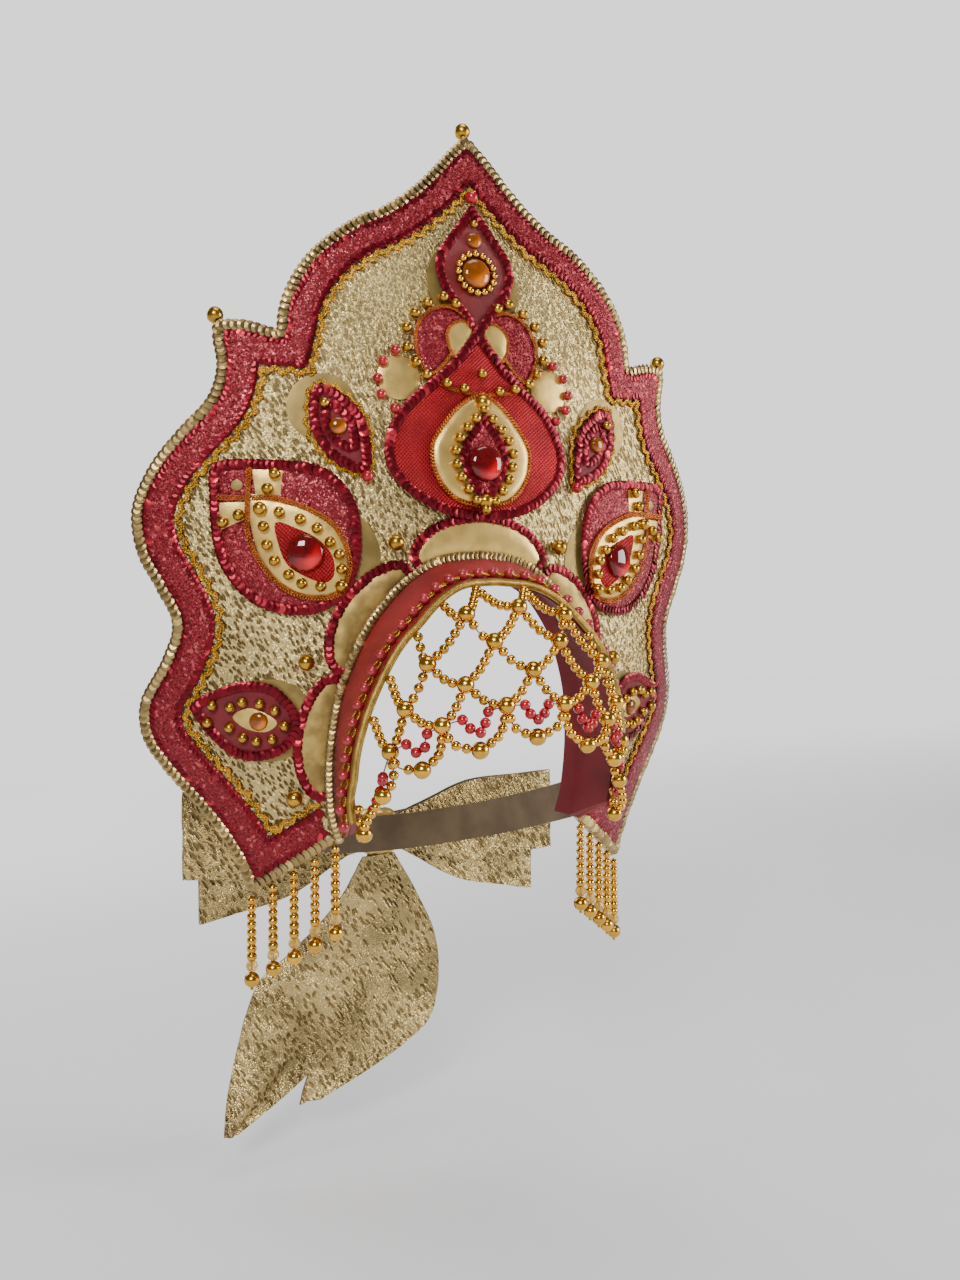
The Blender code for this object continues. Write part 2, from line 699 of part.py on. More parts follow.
def make_leaves(glitter, patch, ruby, amber):
    pair("small_leaf", SMALL_LEAF, crest_place, LIFT, LIFT + APPLIQUE, glitter)
    pair("big_leaf", BIG_LEAF, field_place, LIFT, LIFT + APPLIQUE, glitter, step=0.013)
    pair("big_leaf_drop", BIG_DROP, field_place, 2 * LIFT + APPLIQUE, 2 * LIFT + APPLIQUE + PATCH, patch)
    pair("low_leaf", LOW_LEAF, field_place, LIFT, LIFT + APPLIQUE, glitter)
    leaf_top = 2 * LIFT + APPLIQUE
    stones = (
        ("small_leaf_stone", crest_place(SMALL_STONE), leaf_top, SMALL_AMBER, SMALL_RISE, amber),
        ("big_leaf_ruby", field_place(BIG_STONE), leaf_top + PATCH + LIFT, RUBY, RUBY_RISE, ruby),
        ("low_leaf_stone", field_place(LOW_STONE), leaf_top, LOW_AMBER, SMALL_RISE, amber),
    )
    for name, (x, z), base, width, rise, finish in stones:
        for side, label in ((1, "right"), (-1, "left")):
            turned(f"{name}_{label}", side * x, z, base, cabochon(width, rise), finish, sides=10)


def board_back(x, z):
    """How far back the board's back lies."""
    return bend(x, z) + BOARD_WALL / abs(board_normal(x, z).y)


def band_sections(outer, inner, back, front, pad=0.0):
    """Sections of a wall between the arch and the band's front edge.

    Outer and inner are depths inward from the band's outer face. Back and front run from 0 at the knee
    just before the board to 1 at the front edge, and a back of None starts behind the board, where the
    wall may be thicker by pad.
    """
    line = arch_line()
    sections = []
    for point, edge, out in zip(line, band_front(line), arch_outward(line)):
        away = Vector((out.x, 0, out.y))
        foot = on_board(point.x, point.y) - away * 2 * GAP
        knee = foot - Vector((0, 2 * LIFT + EDGE_RISE, 0))
        stations = [(knee.lerp(edge, back or 0.0), pad / 2), (knee.lerp(edge, front), 0.0)]
        if back is None:
            stations.insert(0, (on_board(point.x, point.y, -BOARD_WALL) - away * 2 * GAP, pad))
        rows = [spot - away * outer for spot, _ in stations]
        sections.append(rows + [spot - away * (inner + more) for spot, more in reversed(stations)])
    return sections


def lofted(name, sections, finish):
    """A closed wall through sections that have the same number of corners."""
    points = [p for rows in sections for p in rows]
    n = len(sections[0])
    faces = [(k, k + 1, n - 2 - k, n - 1 - k) for k in range(n // 2 - 1)]
    for i in range(len(sections) - 1):
        for k in range(n):
            a, b = n * i + k, n * i + (k + 1) % n
            if k < n // 2:
                faces += [(a, a + n, b + n), (a, b + n, b)]
            else:
                faces += [(a, a + n, b), (b, a + n, b + n)]
    last = len(points) - n
    faces += [(last + n - 1 - k, last + n - 2 - k, last + k + 1, last + k) for k in range(n // 2 - 1)]
    return solid(name, points, faces, finish, smooth=True)


def make_band(satin, lining, cord, braid, gold):
    lofted("brow_band", band_sections(0.0, BAND_WALL, None, 1.0), satin)
    line = arch_line()
    edge = band_front(line)
    outs = arch_outward(line)
    route = [p - Vector((n.x, 0, n.y)) * BAND_WALL / 2 - Vector((0, CORD_THICK / 2 + GAP, 0))
             for p, n in zip(edge, outs)]
    shape = bpy.data.curves.new("band_cord", "CURVE")
    shape.dimensions = "3D"
    shape.bevel_depth = CORD_THICK / 2
    shape.bevel_resolution = 2
    shape.use_fill_caps = True
    spline = shape.splines.new("POLY")
    spline.points.add(len(route) - 1)
    for spot, place in zip(spline.points, route):
        spot.co = (*place, 1)
    shape.materials.append(cord)
    made = bpy.data.objects.new("band_cord", shape)
    bpy.context.scene.collection.objects.link(made)
    lofted("band_braid", band_sections(-2 * LIFT - BRAID_RISE, -2 * LIFT, 1 - BAND_BRAID / BAND_REACH, 0.98), braid)
    first = BAND_WALL + GAP
    lofted("brow_lining", band_sections(first, first + LINING_WALL, None, 0.95, LINING_PAD), lining)
    low, high = arch_moved(line, 2 * GAP), arch_moved(line, ARCH_TRIM)
    plate("arch_sequins", high + low[::-1], LIFT, LIFT + EDGE_RISE, gold)
    return route


def brow_depth(x, z, edge):
    """How far back a point of the net lies; edge is the cord's route, right half from the crown."""
    low, high = -NET_DROP, edge[0].z
    share = max(0.0, min(1.0, (z - low) / (high - low)))
    middle = -NET_REACH + (NET_REACH + edge[0].y) * (1 - math.sqrt(1 - share**2))
    rim = edge[-1]
    for above, below in zip(edge, edge[1:]):
        if below.z <= z <= above.z:
            rim = above.lerp(below, (above.z - z) / max(1e-9, above.z - below.z))
            break
    return between(middle, rim.y, min(1.0, abs(x) / rim.x) ** 3)


def make_net(route, finish):
    """Big beads joined by strands of small ones, which here are tubes."""
    middle = len(route) // 2
    edge = route[middle:]
    shares = arch_shares(arch_line())[middle:]
    places = {}
    for row, column, across, down in NET_BEADS:
        x, z = across * ARCH_HALF, -down * NET_DROP
        places[row, column] = Vector((x, brow_depth(x, z, edge), z))
    clear = (CORD_THICK + NET_STRAND) / 2 + GAP
    for column, share in NET_TIES:
        k = min(range(len(shares)), key=lambda i: abs(shares[i] - share))
        k = min(max(k, 1), len(edge) - 2)
        low, high = (k, k + 1) if shares[k] <= share else (k - 1, k)
        spot = edge[low].lerp(edge[high], (share - shares[low]) / (shares[high] - shares[low]))
        run = edge[high] - edge[low]
        inward = Vector((run.z, 0, -run.x)).normalized()
        places["t", column] = spot + (inward * 0.8 + Vector((0, -0.6, 0))) * clear
    shapes = []
    for row, column, _, _ in NET_BEADS:
        for side in ((1,) if column == 0 else (1, -1)):
            spot = places[row, column]
            shapes.append(ball(Vector((side * spot.x, spot.y, spot.z)), NET_BEAD))
    for row, column, to_row, to_column in NET_STRANDS:
        start, end = places[row, column], places[to_row, to_column]
        hanging = to_row == "e"
        sag = Vector((math.copysign(NET_SAG, start.x - end.x), 0, -NET_SAG)) if hanging else Vector()
        route = [start, start.lerp(end, 0.5) + sag, end] if hanging else [start, end]
        for side in (1, -1):
            shapes.append(tube([point * Vector((side, 1, 1)) for point in route], NET_STRAND, sides=4))
    fused("bead_net", shapes[0], shapes[1:], finish)


def make_pendants(finish):
    """Five strings under each wing, each with a clear bead over its end bead."""
    tip, end = Vector(crest_place(SIDE[-1])), Vector(arch_place(ARCH[-1]))
    slope = (end - tip).normalized()
    for i in range(5):
        spot = tip.lerp(end, 0.05 + 0.22 * i)
        half = PENDANT_STRAND / 2
        drop = 0.95 * half * abs(slope.y / slope.x) + 1.2 * GAP
        length = PENDANT * (1 + 0.012 * i)
        for side, label in ((1, "right"), (-1, "left")):
            head = on_board(side * spot.x, spot.y, EDGE_RISE - BOARD_WALL / 2)
            head.z -= drop
            foot = head - Vector((0, 0, length))
            shapes = [tube([head, foot], PENDANT_STRAND), ball(foot, PENDANT_BEAD)]
            fused(f"pendant_{label}_{i + 1}", shapes[0], shapes[1:], finish)


def make_strap(finish):
    """The strap from wing to wing round the nape; its ends butt against the board's back."""
    x, foot = arch_place(ARCH[-1])
    x += STRAP_LAP
    rows = []
    count = 16
    for k in range(count + 1):
        turn = math.pi * k / count
        row = []
        for rise in (STRAP_WIDE, 0.0):
            start = board_back(x, foot + rise) + 2 * GAP
            y = between(start, NAPE_BACK, math.sin(turn))
            z = between(foot + rise, rise - NAPE_DROP - STRAP_WIDE / 2, math.sin(turn))
            row.append(Vector((x * math.cos(turn), y, z)))
        rows.append(row)
    slab("nape_strap", rows, CLOTH, finish)


def make_bow(finish, tail_finish):
    """Two flat folded loops on each side of a knot, and two cut tails."""
    centre = Vector((0, NAPE_BACK + 2 * GAP + KNOT_THICK / 2, -NAPE_DROP))
    rows = []
    for k in range(12):
        turn = 2 * math.pi * k / 12
        y = math.copysign(abs(math.sin(turn)) ** 0.6, math.sin(turn)) * KNOT_THICK / 2
        z = math.copysign(abs(math.cos(turn)) ** 0.6, math.cos(turn)) * KNOT_HIGH / 2
        rows.append(Vector((0, y, z)))
    points = []
    for x, size in ((-0.5, 0.86), (-0.36, 1.0), (0.36, 1.0), (0.5, 0.86)):
        points += [centre + Vector((x * KNOT_WIDE, 0, 0)) + p * size for p in rows]
    faces = [tuple(range(12)), tuple(reversed(range(36, 48)))]
    for r in range(3):
        for k in range(12):
            a, b = 12 * r + k, 12 * r + (k + 1) % 12
            faces.append((a, a + 12, b + 12, b))
    solid("bow_knot", points, faces, finish, smooth=True)
    inner = KNOT_WIDE / 2 + GAP + CLOTH
    depth = LOOP_OPEN / 4 - CLOTH
    for name, table, behind in LOOPS:
        reach, rise = table
        for side, label in ((1, "right"), (-1, "left")):
            grid = []
            for along, deep in FOLD:
                x = between(inner, LOOP_REACH * reach, along)
                y = centre.y + behind * LOOP_OPEN / 2 + deep * depth
                z = centre.z + LOOP_HIGH * rise * along
                spread = LOOP_HIGH / 2 * min(1.0, 0.42 + 1.3 * along)
                grid.append([Vector((side * x, y, z + spread * share)) for share in (1, -1)])
            slab(f"{name}_{label}", grid, CLOTH * side, tail_finish, ring=True)
    for name, table, behind in (("tail_front", FRONT_TAIL, 0.0), ("tail_back", BACK_TAIL, 1.0)):
        grid = []
        for left, right, down in table:
            z = centre.z - KNOT_HIGH / 2 - GAP - down * (TAIL_DROP - KNOT_HIGH / 2)
            y = centre.y - CLOTH + behind * TAIL_STEP + 2 * TAIL_STEP * math.sin(3 * down)
            ends = [Vector((share * LOOP_REACH, y, z)) for share in (left, right)]
            row = [ends[0].lerp(ends[1], k / 3) for k in range(4)]
            wave = TAIL_WAVE * min(1.0, 2 * down) * min(1.0, 4 * (right - left))
            row[1].y += wave * (2 * behind - 1)
            row[2].y += wave * 0.5
            grid.append(row)
        slab(name, grid, CLOTH, tail_finish)


def main():
    for old in list(bpy.data.objects):
        bpy.data.objects.remove(old)
    leather = material("gold_leatherette", (0.56, 0.47, 0.29), 0.42, 0.55)
    foil = material("smooth_gold_leatherette", (0.55, 0.46, 0.24), 0.4, 0.5)
    sequin = material("gold_sequins", (0.66, 0.52, 0.27), 0.25, 0.9)
    glitter = material("red_glitter_fabric", (0.32, 0.02, 0.05), 0.5)
    satin = material("red_satin", (0.40, 0.02, 0.04), 0.45)
    lining = material("dark_red_lining", (0.12, 0.01, 0.015), 0.8)
    net_red = material("red_mesh_fabric", (0.45, 0.03, 0.05), 0.6)
    braid = material("gold_braid", (0.50, 0.27, 0.05), 0.45, 0.6)
    cord = material("gold_cord", (0.50, 0.35, 0.12), 0.4, 0.5)
    bead = material("gold_plastic_beads", (0.80, 0.46, 0.08), 0.12, 1.0)
    ruby = material("ruby_stone", (0.22, 0.0, 0.01), 0.05)
    amber = material("amber_stone", (0.75, 0.25, 0.01), 0.05)
    make_board(leather)
    make_trims(sequin, glitter, braid)
    make_tip_beads(bead)
    make_petals(foil)
    make_motif(satin, glitter, foil, net_red, ruby, amber)
    make_leaves(glitter, foil, ruby, amber)
    route = make_band(satin, lining, cord, braid, sequin)
    make_net(route, bead)
    make_pendants(bead)
    make_strap(leather)
    make_bow(foil, leather)


main()
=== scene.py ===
"""A festive kokoshnik headdress: its sequins, glitter, beads, stones, braids and leatherette.

Metres, +Z up. The wearer faces -Y, and the origin is where the brow band's crown meets the board.
"""
import math

import bmesh
import bpy
import numpy
from bpy.props import FloatProperty, FloatVectorProperty
from mathutils import Matrix, Vector, noise
from mathutils.geometry import delaunay_2d_cdt


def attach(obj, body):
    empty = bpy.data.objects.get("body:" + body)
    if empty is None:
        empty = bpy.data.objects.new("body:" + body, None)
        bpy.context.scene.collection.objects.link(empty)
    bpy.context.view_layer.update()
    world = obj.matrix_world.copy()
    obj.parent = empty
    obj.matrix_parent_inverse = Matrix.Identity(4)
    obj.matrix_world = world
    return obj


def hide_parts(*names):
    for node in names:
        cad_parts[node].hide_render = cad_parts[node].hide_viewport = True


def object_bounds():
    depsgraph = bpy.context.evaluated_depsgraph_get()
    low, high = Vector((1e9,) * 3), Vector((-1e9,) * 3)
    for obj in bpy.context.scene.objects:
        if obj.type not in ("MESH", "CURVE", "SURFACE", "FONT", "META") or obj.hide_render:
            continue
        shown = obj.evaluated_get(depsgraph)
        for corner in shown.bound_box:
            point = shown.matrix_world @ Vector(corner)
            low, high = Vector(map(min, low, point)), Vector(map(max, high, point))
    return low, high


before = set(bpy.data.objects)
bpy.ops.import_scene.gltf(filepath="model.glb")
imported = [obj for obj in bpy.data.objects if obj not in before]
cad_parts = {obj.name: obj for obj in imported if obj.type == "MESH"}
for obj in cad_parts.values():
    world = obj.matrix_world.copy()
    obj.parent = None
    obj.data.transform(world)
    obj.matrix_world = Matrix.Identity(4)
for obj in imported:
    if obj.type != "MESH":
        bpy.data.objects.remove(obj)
CAD_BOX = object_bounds()

bl_info = {
    "name": "Kokoshnik headdress",
    "version": (1, 0, 0),
    "blender": (4, 5, 0),
    "location": "View3D > Sidebar > Headdress",
    "description": "Dresses the headdress frame with its sequins, beads, stones, braids and leatherette",
    "category": "Object",
}

# The CAD frame's sizes
CREST_HALF, CREST_TOP, CREST_DROP, BOARD_WALL = 0.195, 0.267, 0.197, 0.005
SWEEP_HIGH, SWEEP_LOW, LEAN_HIGH, LEAN_LOW = 0.0232, 0.0976, 0.0208, 0.0121
EDGE_WIDE, BORDER_WIDE, BRAID_WIDE = 0.0065, 0.0155, 0.005
EDGE_RISE, BORDER_RISE, TIP_BEAD = 0.0026, 0.0022, 0.0084
ARCH_HALF, ARCH_CROWN, ARCH_DROP, ARCH_TRIM = 0.0875, 0.005, 0.161, 0.005
BAND_WALL, BAND_REACH, BAND_INSET, BAND_BRAID = 0.002, 0.040, 0.014, 0.008
CORD_THICK, LINING_WALL, LINING_PAD = 0.0046, 0.0015, 0.009
MOTIF_HALF, APPLIQUE, PATCH = 0.064, 0.0026, 0.0016
RUBY, RUBY_RISE, AMBER, AMBER_RING, AMBER_RISE = 0.0215, 0.0052, 0.0185, 0.0275, 0.0046
SMALL_AMBER, SMALL_RISE, LOW_AMBER = 0.0100, 0.0032, 0.0110
NET_REACH, NET_DROP, NET_BEAD, NET_SAG = 0.0705, 0.0985, 0.0100, 0.0035
PENDANT, PENDANT_BEAD = 0.050, 0.0095
STRAP_WIDE, STRAP_LAP, CLOTH, NAPE_BACK, NAPE_DROP = 0.026, 0.006, 0.0016, 0.165, 0.186
KNOT_WIDE, KNOT_HIGH, KNOT_THICK = 0.026, 0.034, 0.020
LOOP_REACH, LOOP_HIGH, LOOP_OPEN = 0.142, 0.060, 0.014
TAIL_DROP, TAIL_STEP, TAIL_WAVE = 0.205, 0.005, 0.004
GAP, LIFT, NOTCH_REACH = 0.0003, 0.0005, 1.25
TRIM = EDGE_WIDE + BORDER_WIDE + BRAID_WIDE
FIELD_HALF = CREST_HALF - TRIM
# Tops of the first and the second layer of patches over the board's face
FIRST, SECOND = LIFT + APPLIQUE, LIFT + 2 * APPLIQUE
# Step between the points of a fine outline
FINE = 0.0028

# The board's outline from its tip to the right wing tip: shares of CREST_HALF across, and of CREST_TOP
# or CREST_DROP up
DOME = (
    (0.0, 1.0), (0.067, 0.951), (0.169, 0.869), (0.277, 0.805), (0.390, 0.760),
    (0.492, 0.700), (0.554, 0.644), (0.595, 0.584), (0.611, 0.536), (0.613, 0.507),
)
SHOULDER = ((0.613, 0.507), (0.703, 0.524), (0.790, 0.522))
SIDE = (
    (0.790, 0.522), (0.790, 0.483), (0.779, 0.423), (0.805, 0.356), (0.882, 0.288),
    (0.954, 0.213), (0.998, 0.124), (0.984, 0.030), (0.933, -0.066), (0.887, -0.173),
    (0.913, -0.284), (0.964, -0.406), (0.954, -0.518), (0.892, -0.619), (0.805, -0.726),
    (0.738, -0.822), (0.687, -0.919), (0.667, -1.0),
)
# The arch's right half: shares of ARCH_HALF across and of the arch's height down
ARCH = (
    (0.0, 0.0), (0.286, 0.018), (0.514, 0.084), (0.709, 0.199), (0.834, 0.313),
    (0.949, 0.482), (0.994, 0.648), (1.0, 0.777), (0.977, 0.910), (0.926, 1.0),
)
# The band's front edge: along the arch, inward, forward, and how far its ends are cut back
BAND = (
    (0.0, 1.0, 0.47, 0.0), (0.12, 0.97, 0.55, 0.0), (0.24, 0.86, 0.74, 0.0), (0.35, 0.71, 0.90, 0.0),
    (0.45, 0.42, 0.96, 0.0), (0.59, 0.21, 1.0, 0.02), (0.72, 0.0, 0.98, 0.08), (0.85, -0.08, 0.90, 0.20),
    (1.0, -0.50, 0.80, 0.40),
)
PETALS = (
    ("petal_top", 0.0, 0.196, 0.0245), ("petal_high", 0.372, 0.166, 0.0205), ("petal_low", 0.717, 0.166, 0.0190),
)
# The middle motif's right half: shares of MOTIF_HALF across and of CREST_TOP up
ALMOND = (
    (0.0, 0.812), (0.10, 0.780), (0.22, 0.742), (0.33, 0.704), (0.36, 0.668), (0.30, 0.622), (0.20, 0.590),
    (0.0, 0.540),
)
# One line of sequins goes down the almond's right side, crosses over and goes on round the onion's left
CROSSED = ALMOND[:7] + (
    (0.0, 0.527), (-0.24, 0.455), (-0.48, 0.402), (-0.72, 0.350), (-0.88, 0.282), (-0.87, 0.215),
    (-0.66, 0.160), (-0.36, 0.125), (0.0, 0.111),
)
NECK = ((0.0, 0.387), (0.18, 0.390), (0.35, 0.399), (0.48, 0.414))
LOBE = (
    (0.10, 0.548), (0.26, 0.580), (0.46, 0.572), (0.60, 0.535), (0.63, 0.485), (0.56, 0.440), (0.46, 0.428),
    (0.28, 0.475),
)
LOBE_BEADS = ((0.22, 0.590), (0.34, 0.603), (0.50, 0.586), (0.625, 0.560), (0.71, 0.526), (0.71, 0.483),
              (0.63, 0.449), (0.53, 0.423))
WINDOW = ((0.05, 0.534), (0.10, 0.549), (0.20, 0.550), (0.30, 0.530), (0.31, 0.500), (0.24, 0.467), (0.13, 0.496))
DISC = (0.785, 0.414, 0.0130)
DISC_PEARLS = ((0.82, 0.473), (0.94, 0.446), (0.99, 0.408), (0.96, 0.373), (0.84, 0.344))
ONION = (
    (0.0, 0.512), (0.24, 0.448), (0.48, 0.402), (0.72, 0.350), (0.88, 0.282), (0.87, 0.215), (0.66, 0.160),
    (0.36, 0.125), (0.0, 0.111),
)
TEARDROP = ((0.0, 0.389), (0.20, 0.362), (0.38, 0.315), (0.50, 0.262), (0.46, 0.200), (0.28, 0.150), (0.0, 0.134))
LOZENGE = ((0.0, 0.328), (0.20, 0.252), (0.10, 0.180), (0.0, 0.150))
RUBY_UP, AMBER_UP, SMALL_AMBER_UP = 0.228, 0.664, 0.742
# Leaves on the right: shares of CREST_HALF, or 0 to 1 over the arch and 1 to 2 over the wing's field
SMALL_LEAF = (
    (0.497, 0.377), (0.508, 0.362), (0.511, 0.330), (0.503, 0.290), (0.467, 0.246), (0.415, 0.219),
    (0.364, 0.213), (0.364, 0.270), (0.379, 0.315), (0.415, 0.348), (0.461, 0.374),
)
SMALL_STONE = (0.443, 0.300)
BIG_LEAF = (
    (1.785, 0.208), (1.53, 0.215), (1.17, 0.207), (1.0, 0.178), (0.90, 0.128), (0.87, 0.062), (0.885, 0.0),
    (0.945, -0.070), (1.06, -0.116), (1.22, -0.134), (1.43, -0.120), (1.60, -0.074), (1.74, 0.012),
    (1.79, 0.086), (1.80, 0.150),
)
BIG_DROP = (
    (1.60, 0.150), (1.38, 0.135), (1.19, 0.124), (1.03, 0.090), (0.935, 0.045), (0.915, -0.010),
    (0.945, -0.066), (1.10, -0.094), (1.26, -0.088), (1.39, -0.046), (1.50, 0.014), (1.56, 0.080),
)
BIG_STONE = (1.205, 0.0245)
LOW_LEAF = (
    (1.89, -0.420), (1.78, -0.386), (1.65, -0.362), (1.53, -0.356), (1.41, -0.368), (1.33, -0.398),
    (1.265, -0.435), (1.25, -0.470), (1.26, -0.505), (1.33, -0.542), (1.44, -0.562), (1.56, -0.564),
    (1.66, -0.545), (1.76, -0.503), (1.83, -0.462),
)
LOW_STONE = (1.485, -0.460)
# The net's right half: row, column, shares of ARCH_HALF across and of NET_DROP down; ties on the cord
NET_BEADS = (
    ("a", 0, 0.0, 0.256), ("a", 2, 0.36, 0.298), ("b", 1, 0.237, 0.453), ("b", 3, 0.638, 0.578),
    ("c", 0, 0.0, 0.615), ("c", 2, 0.454, 0.691), ("c", 4, 0.776, 0.828), ("d", 1, 0.209, 0.808),
    ("d", 3, 0.600, 0.915), ("d", 5, 0.853, 1.066), ("e", 0, 0.0, 0.989), ("e", 2, 0.386, 1.051),
    ("e", 4, 0.702, 1.160), ("e", 6, 0.880, 1.319), ("f", 7, 0.945, 1.550),
)
NET_TIES = ((1, 0.075), (3, 0.245), (4, 0.385), (5, 0.525), (6, 0.665), (7, 0.950))
NET_STRANDS = (
    ("t", 1, "a", 0), ("t", 1, "a", 2), ("t", 3, "a", 2), ("a", 0, "b", 1), ("a", 2, "b", 1), ("a", 2, "b", 3),
    ("t", 4, "b", 3), ("b", 1, "c", 0), ("b", 1, "c", 2), ("b", 3, "c", 2), ("b", 3, "c", 4), ("t", 5, "c", 4),
    ("c", 0, "d", 1), ("c", 2, "d", 1), ("c", 2, "d", 3), ("c", 4, "d", 3), ("c", 4, "d", 5), ("t", 6, "d", 5),
    ("d", 1, "e", 0), ("d", 1, "e", 2), ("d", 3, "e", 2), ("d", 3, "e", 4), ("d", 5, "e", 4), ("d", 5, "e", 6),
    ("f", 7, "e", 6), ("t", 7, "f", 7),
)
# The bow's loops and the fold that they share, and the ribbon tails
LOOPS = (("bow_loop_high", (1.0, 0.13), -0.62), ("bow_loop_low", (0.91, -0.43), 0.62))
FOLD = (
    (0.0, 0.30), (0.16, 0.62), (0.45, 1.0), (0.80, 0.80), (0.97, 0.42), (1.0, 0.0),
    (0.97, -0.42), (0.80, -0.80), (0.45, -1.0), (0.16, -0.62), (0.0, -0.30),
)
FRONT_TAIL = (
    (-0.09, 0.05, 0.0), (-0.21, 0.085, 0.17), (-0.43, 0.09, 0.34), (-0.60, 0.085, 0.44),
    (-0.68, 0.00, 0.56), (-0.74, -0.20, 0.72), (-0.79, -0.45, 0.87), (-0.81, -0.74, 1.0),
)
BACK_TAIL = (
    (-0.05, 0.10, 0.0), (-0.10, 0.24, 0.17), (-0.15, 0.36, 0.36), (-0.22, 0.38, 0.54),
    (-0.30, 0.32, 0.70), (-0.36, 0.05, 0.83), (-0.42, -0.30, 0.94),
)


# ---------------------------------------------------------------- places on the frame

def up(share):
    return share * (CREST_TOP if share > 0 else CREST_DROP)


def crest_place(row):
    return Vector((row[0] * CREST_HALF, up(row[1])))


def motif_place(row):
    return Vector((row[0] * MOTIF_HALF, up(row[1])))


def field_place(row):
    over = max(0.0, row[0] - 1)
    return Vector((min(row[0], 1.0) * ARCH_HALF + over * (FIELD_HALF - ARCH_HALF), up(row[1])))


def arch_place(row):
    return Vector((row[0] * ARCH_HALF, ARCH_CROWN - row[1] * (ARCH_CROWN + ARCH_DROP)))


def between(a, b, share):
    return a + (b - a) * share


def read(rows, along, column):
    for low, high in zip(rows, rows[1:]):
        if along <= high[0]:
            return between(low[column], high[column], (along - low[0]) / (high[0] - low[0]))
    return rows[-1][column]


def bend(x, z):
    low = (z + CREST_DROP) / (CREST_TOP + CREST_DROP)
    lean = LEAN_HIGH * (z / CREST_TOP) ** 2 if z > 0 else LEAN_LOW * (z / CREST_DROP) ** 2
    return between(SWEEP_LOW, SWEEP_HIGH, low) * (x / CREST_HALF) ** 2 + lean


def board_normal(x, z):
    step = 0.001
    slope_x = (bend(x + step, z) - bend(x - step, z)) / (2 * step)
    slope_z = (bend(x, z + step) - bend(x, z - step)) / (2 * step)
    return Vector((slope_x, -1.0, slope_z)).normalized()


def on_board(x, z, height=0.0):
    return Vector((x, bend(x, z), z)) + height * board_normal(x, z)


def between_points(a, b, c, d, t):
    """The smooth curve's point between b and c, with a before them and d after."""
    return 0.5 * (2 * b + (c - a) * t + (2 * a - 5 * b + 4 * c - d) * t**2 + (3 * b - 3 * c + d - a) * t**3)


def curve_through(points, closed=False, step=FINE):
    """Points at even steps along a smooth curve through the given ones."""
    n = len(points)
    fine = []
    for i in range(n if closed else n - 1):
        if closed:
            a, b, c, d = (Vector(points[(i + k) % n]) for k in (-1, 0, 1, 2))
        else:
            b, c = Vector(points[i]), Vector(points[i + 1])
            a = Vector(points[i - 1]) if i else 2 * b - c
            d = Vector(points[i + 2]) if i + 2 < n else 2 * c - b
        fine += [between_points(a, b, c, d, k / 10) for k in range(10)]
    fine.append(Vector(points[0] if closed else points[-1]))
    result = evenly(fine, step)
    return result[:-1] if closed else result


def lengths_of(line):
    result = [0.0]
    for a, b in zip(line, line[1:]):
        result.append(result[-1] + (b - a).length)
    return result


def evenly(line, step, start=0.0, end=0.0):
    """The line cut back at its start and end, at even steps."""
    lengths = lengths_of(line)
    reach = lengths[-1] - start - end
    count = max(1, round(reach / step))
    result, k = [], 0
    for i in range(count + 1):
        target = start + reach * i / count
        while k < len(line) - 2 and lengths[k + 1] < target:
            k += 1
        share = (target - lengths[k]) / max(1e-9, lengths[k + 1] - lengths[k])
        result.append(line[k].lerp(line[k + 1], max(0.0, min(1.0, share))))
    return result


def mirrored(half):
    left = [Vector((-p.x, p.y)) for p in reversed(half)]
    return left[:-1] + list(half) if abs(half[0].x) < 1e-9 else left + list(half)


def edge_half():
    """The board's outline from its tip to the arch's end, on the right."""
    points = []
    for stretch in (DOME, SHOULDER, SIDE):
        points += curve_through([crest_place(row) for row in stretch])[:-1]
    return points + evenly([crest_place(SIDE[-1]), arch_place(ARCH[-1])], FINE)


def measured(points, loop, closed=True):
    """How far each point lies from the loop, and whether it lies inside."""
    spots = numpy.array([(p[0], p[1]) for p in points])
    starts = numpy.array([(p[0], p[1]) for p in loop])
    ends = numpy.roll(starts, -1, axis=0)
    if not closed:
        starts, ends = starts[:-1], ends[:-1]
    run = ends - starts
    share = ((spots[:, None] - starts) * run).sum(2) / numpy.maximum((run**2).sum(1), 1e-12)
    near = starts + share.clip(0, 1)[..., None] * run
    away = numpy.linalg.norm(spots[:, None] - near, axis=2).min(1)
    over = (starts[:, 1] > spots[:, None, 1]) != (ends[:, 1] > spots[:, None, 1])
    drop = numpy.where(run[:, 1] == 0, 1e-12, run[:, 1])
    met = starts[:, 0] + (spots[:, None, 1] - starts[:, 1]) * run[:, 0] / drop
    return away.tolist(), ((over & (spots[:, None, 0] < met)).sum(1) % 2 == 1).tolist()


def crossing(a, b, c, d):
    first, second = b - a, d - c
    turn = first.x * second.y - first.y * second.x
    if abs(turn) < 1e-9:
        return None
    return a + first * (((c - a).x * second.y - (c - a).y * second.x) / turn)


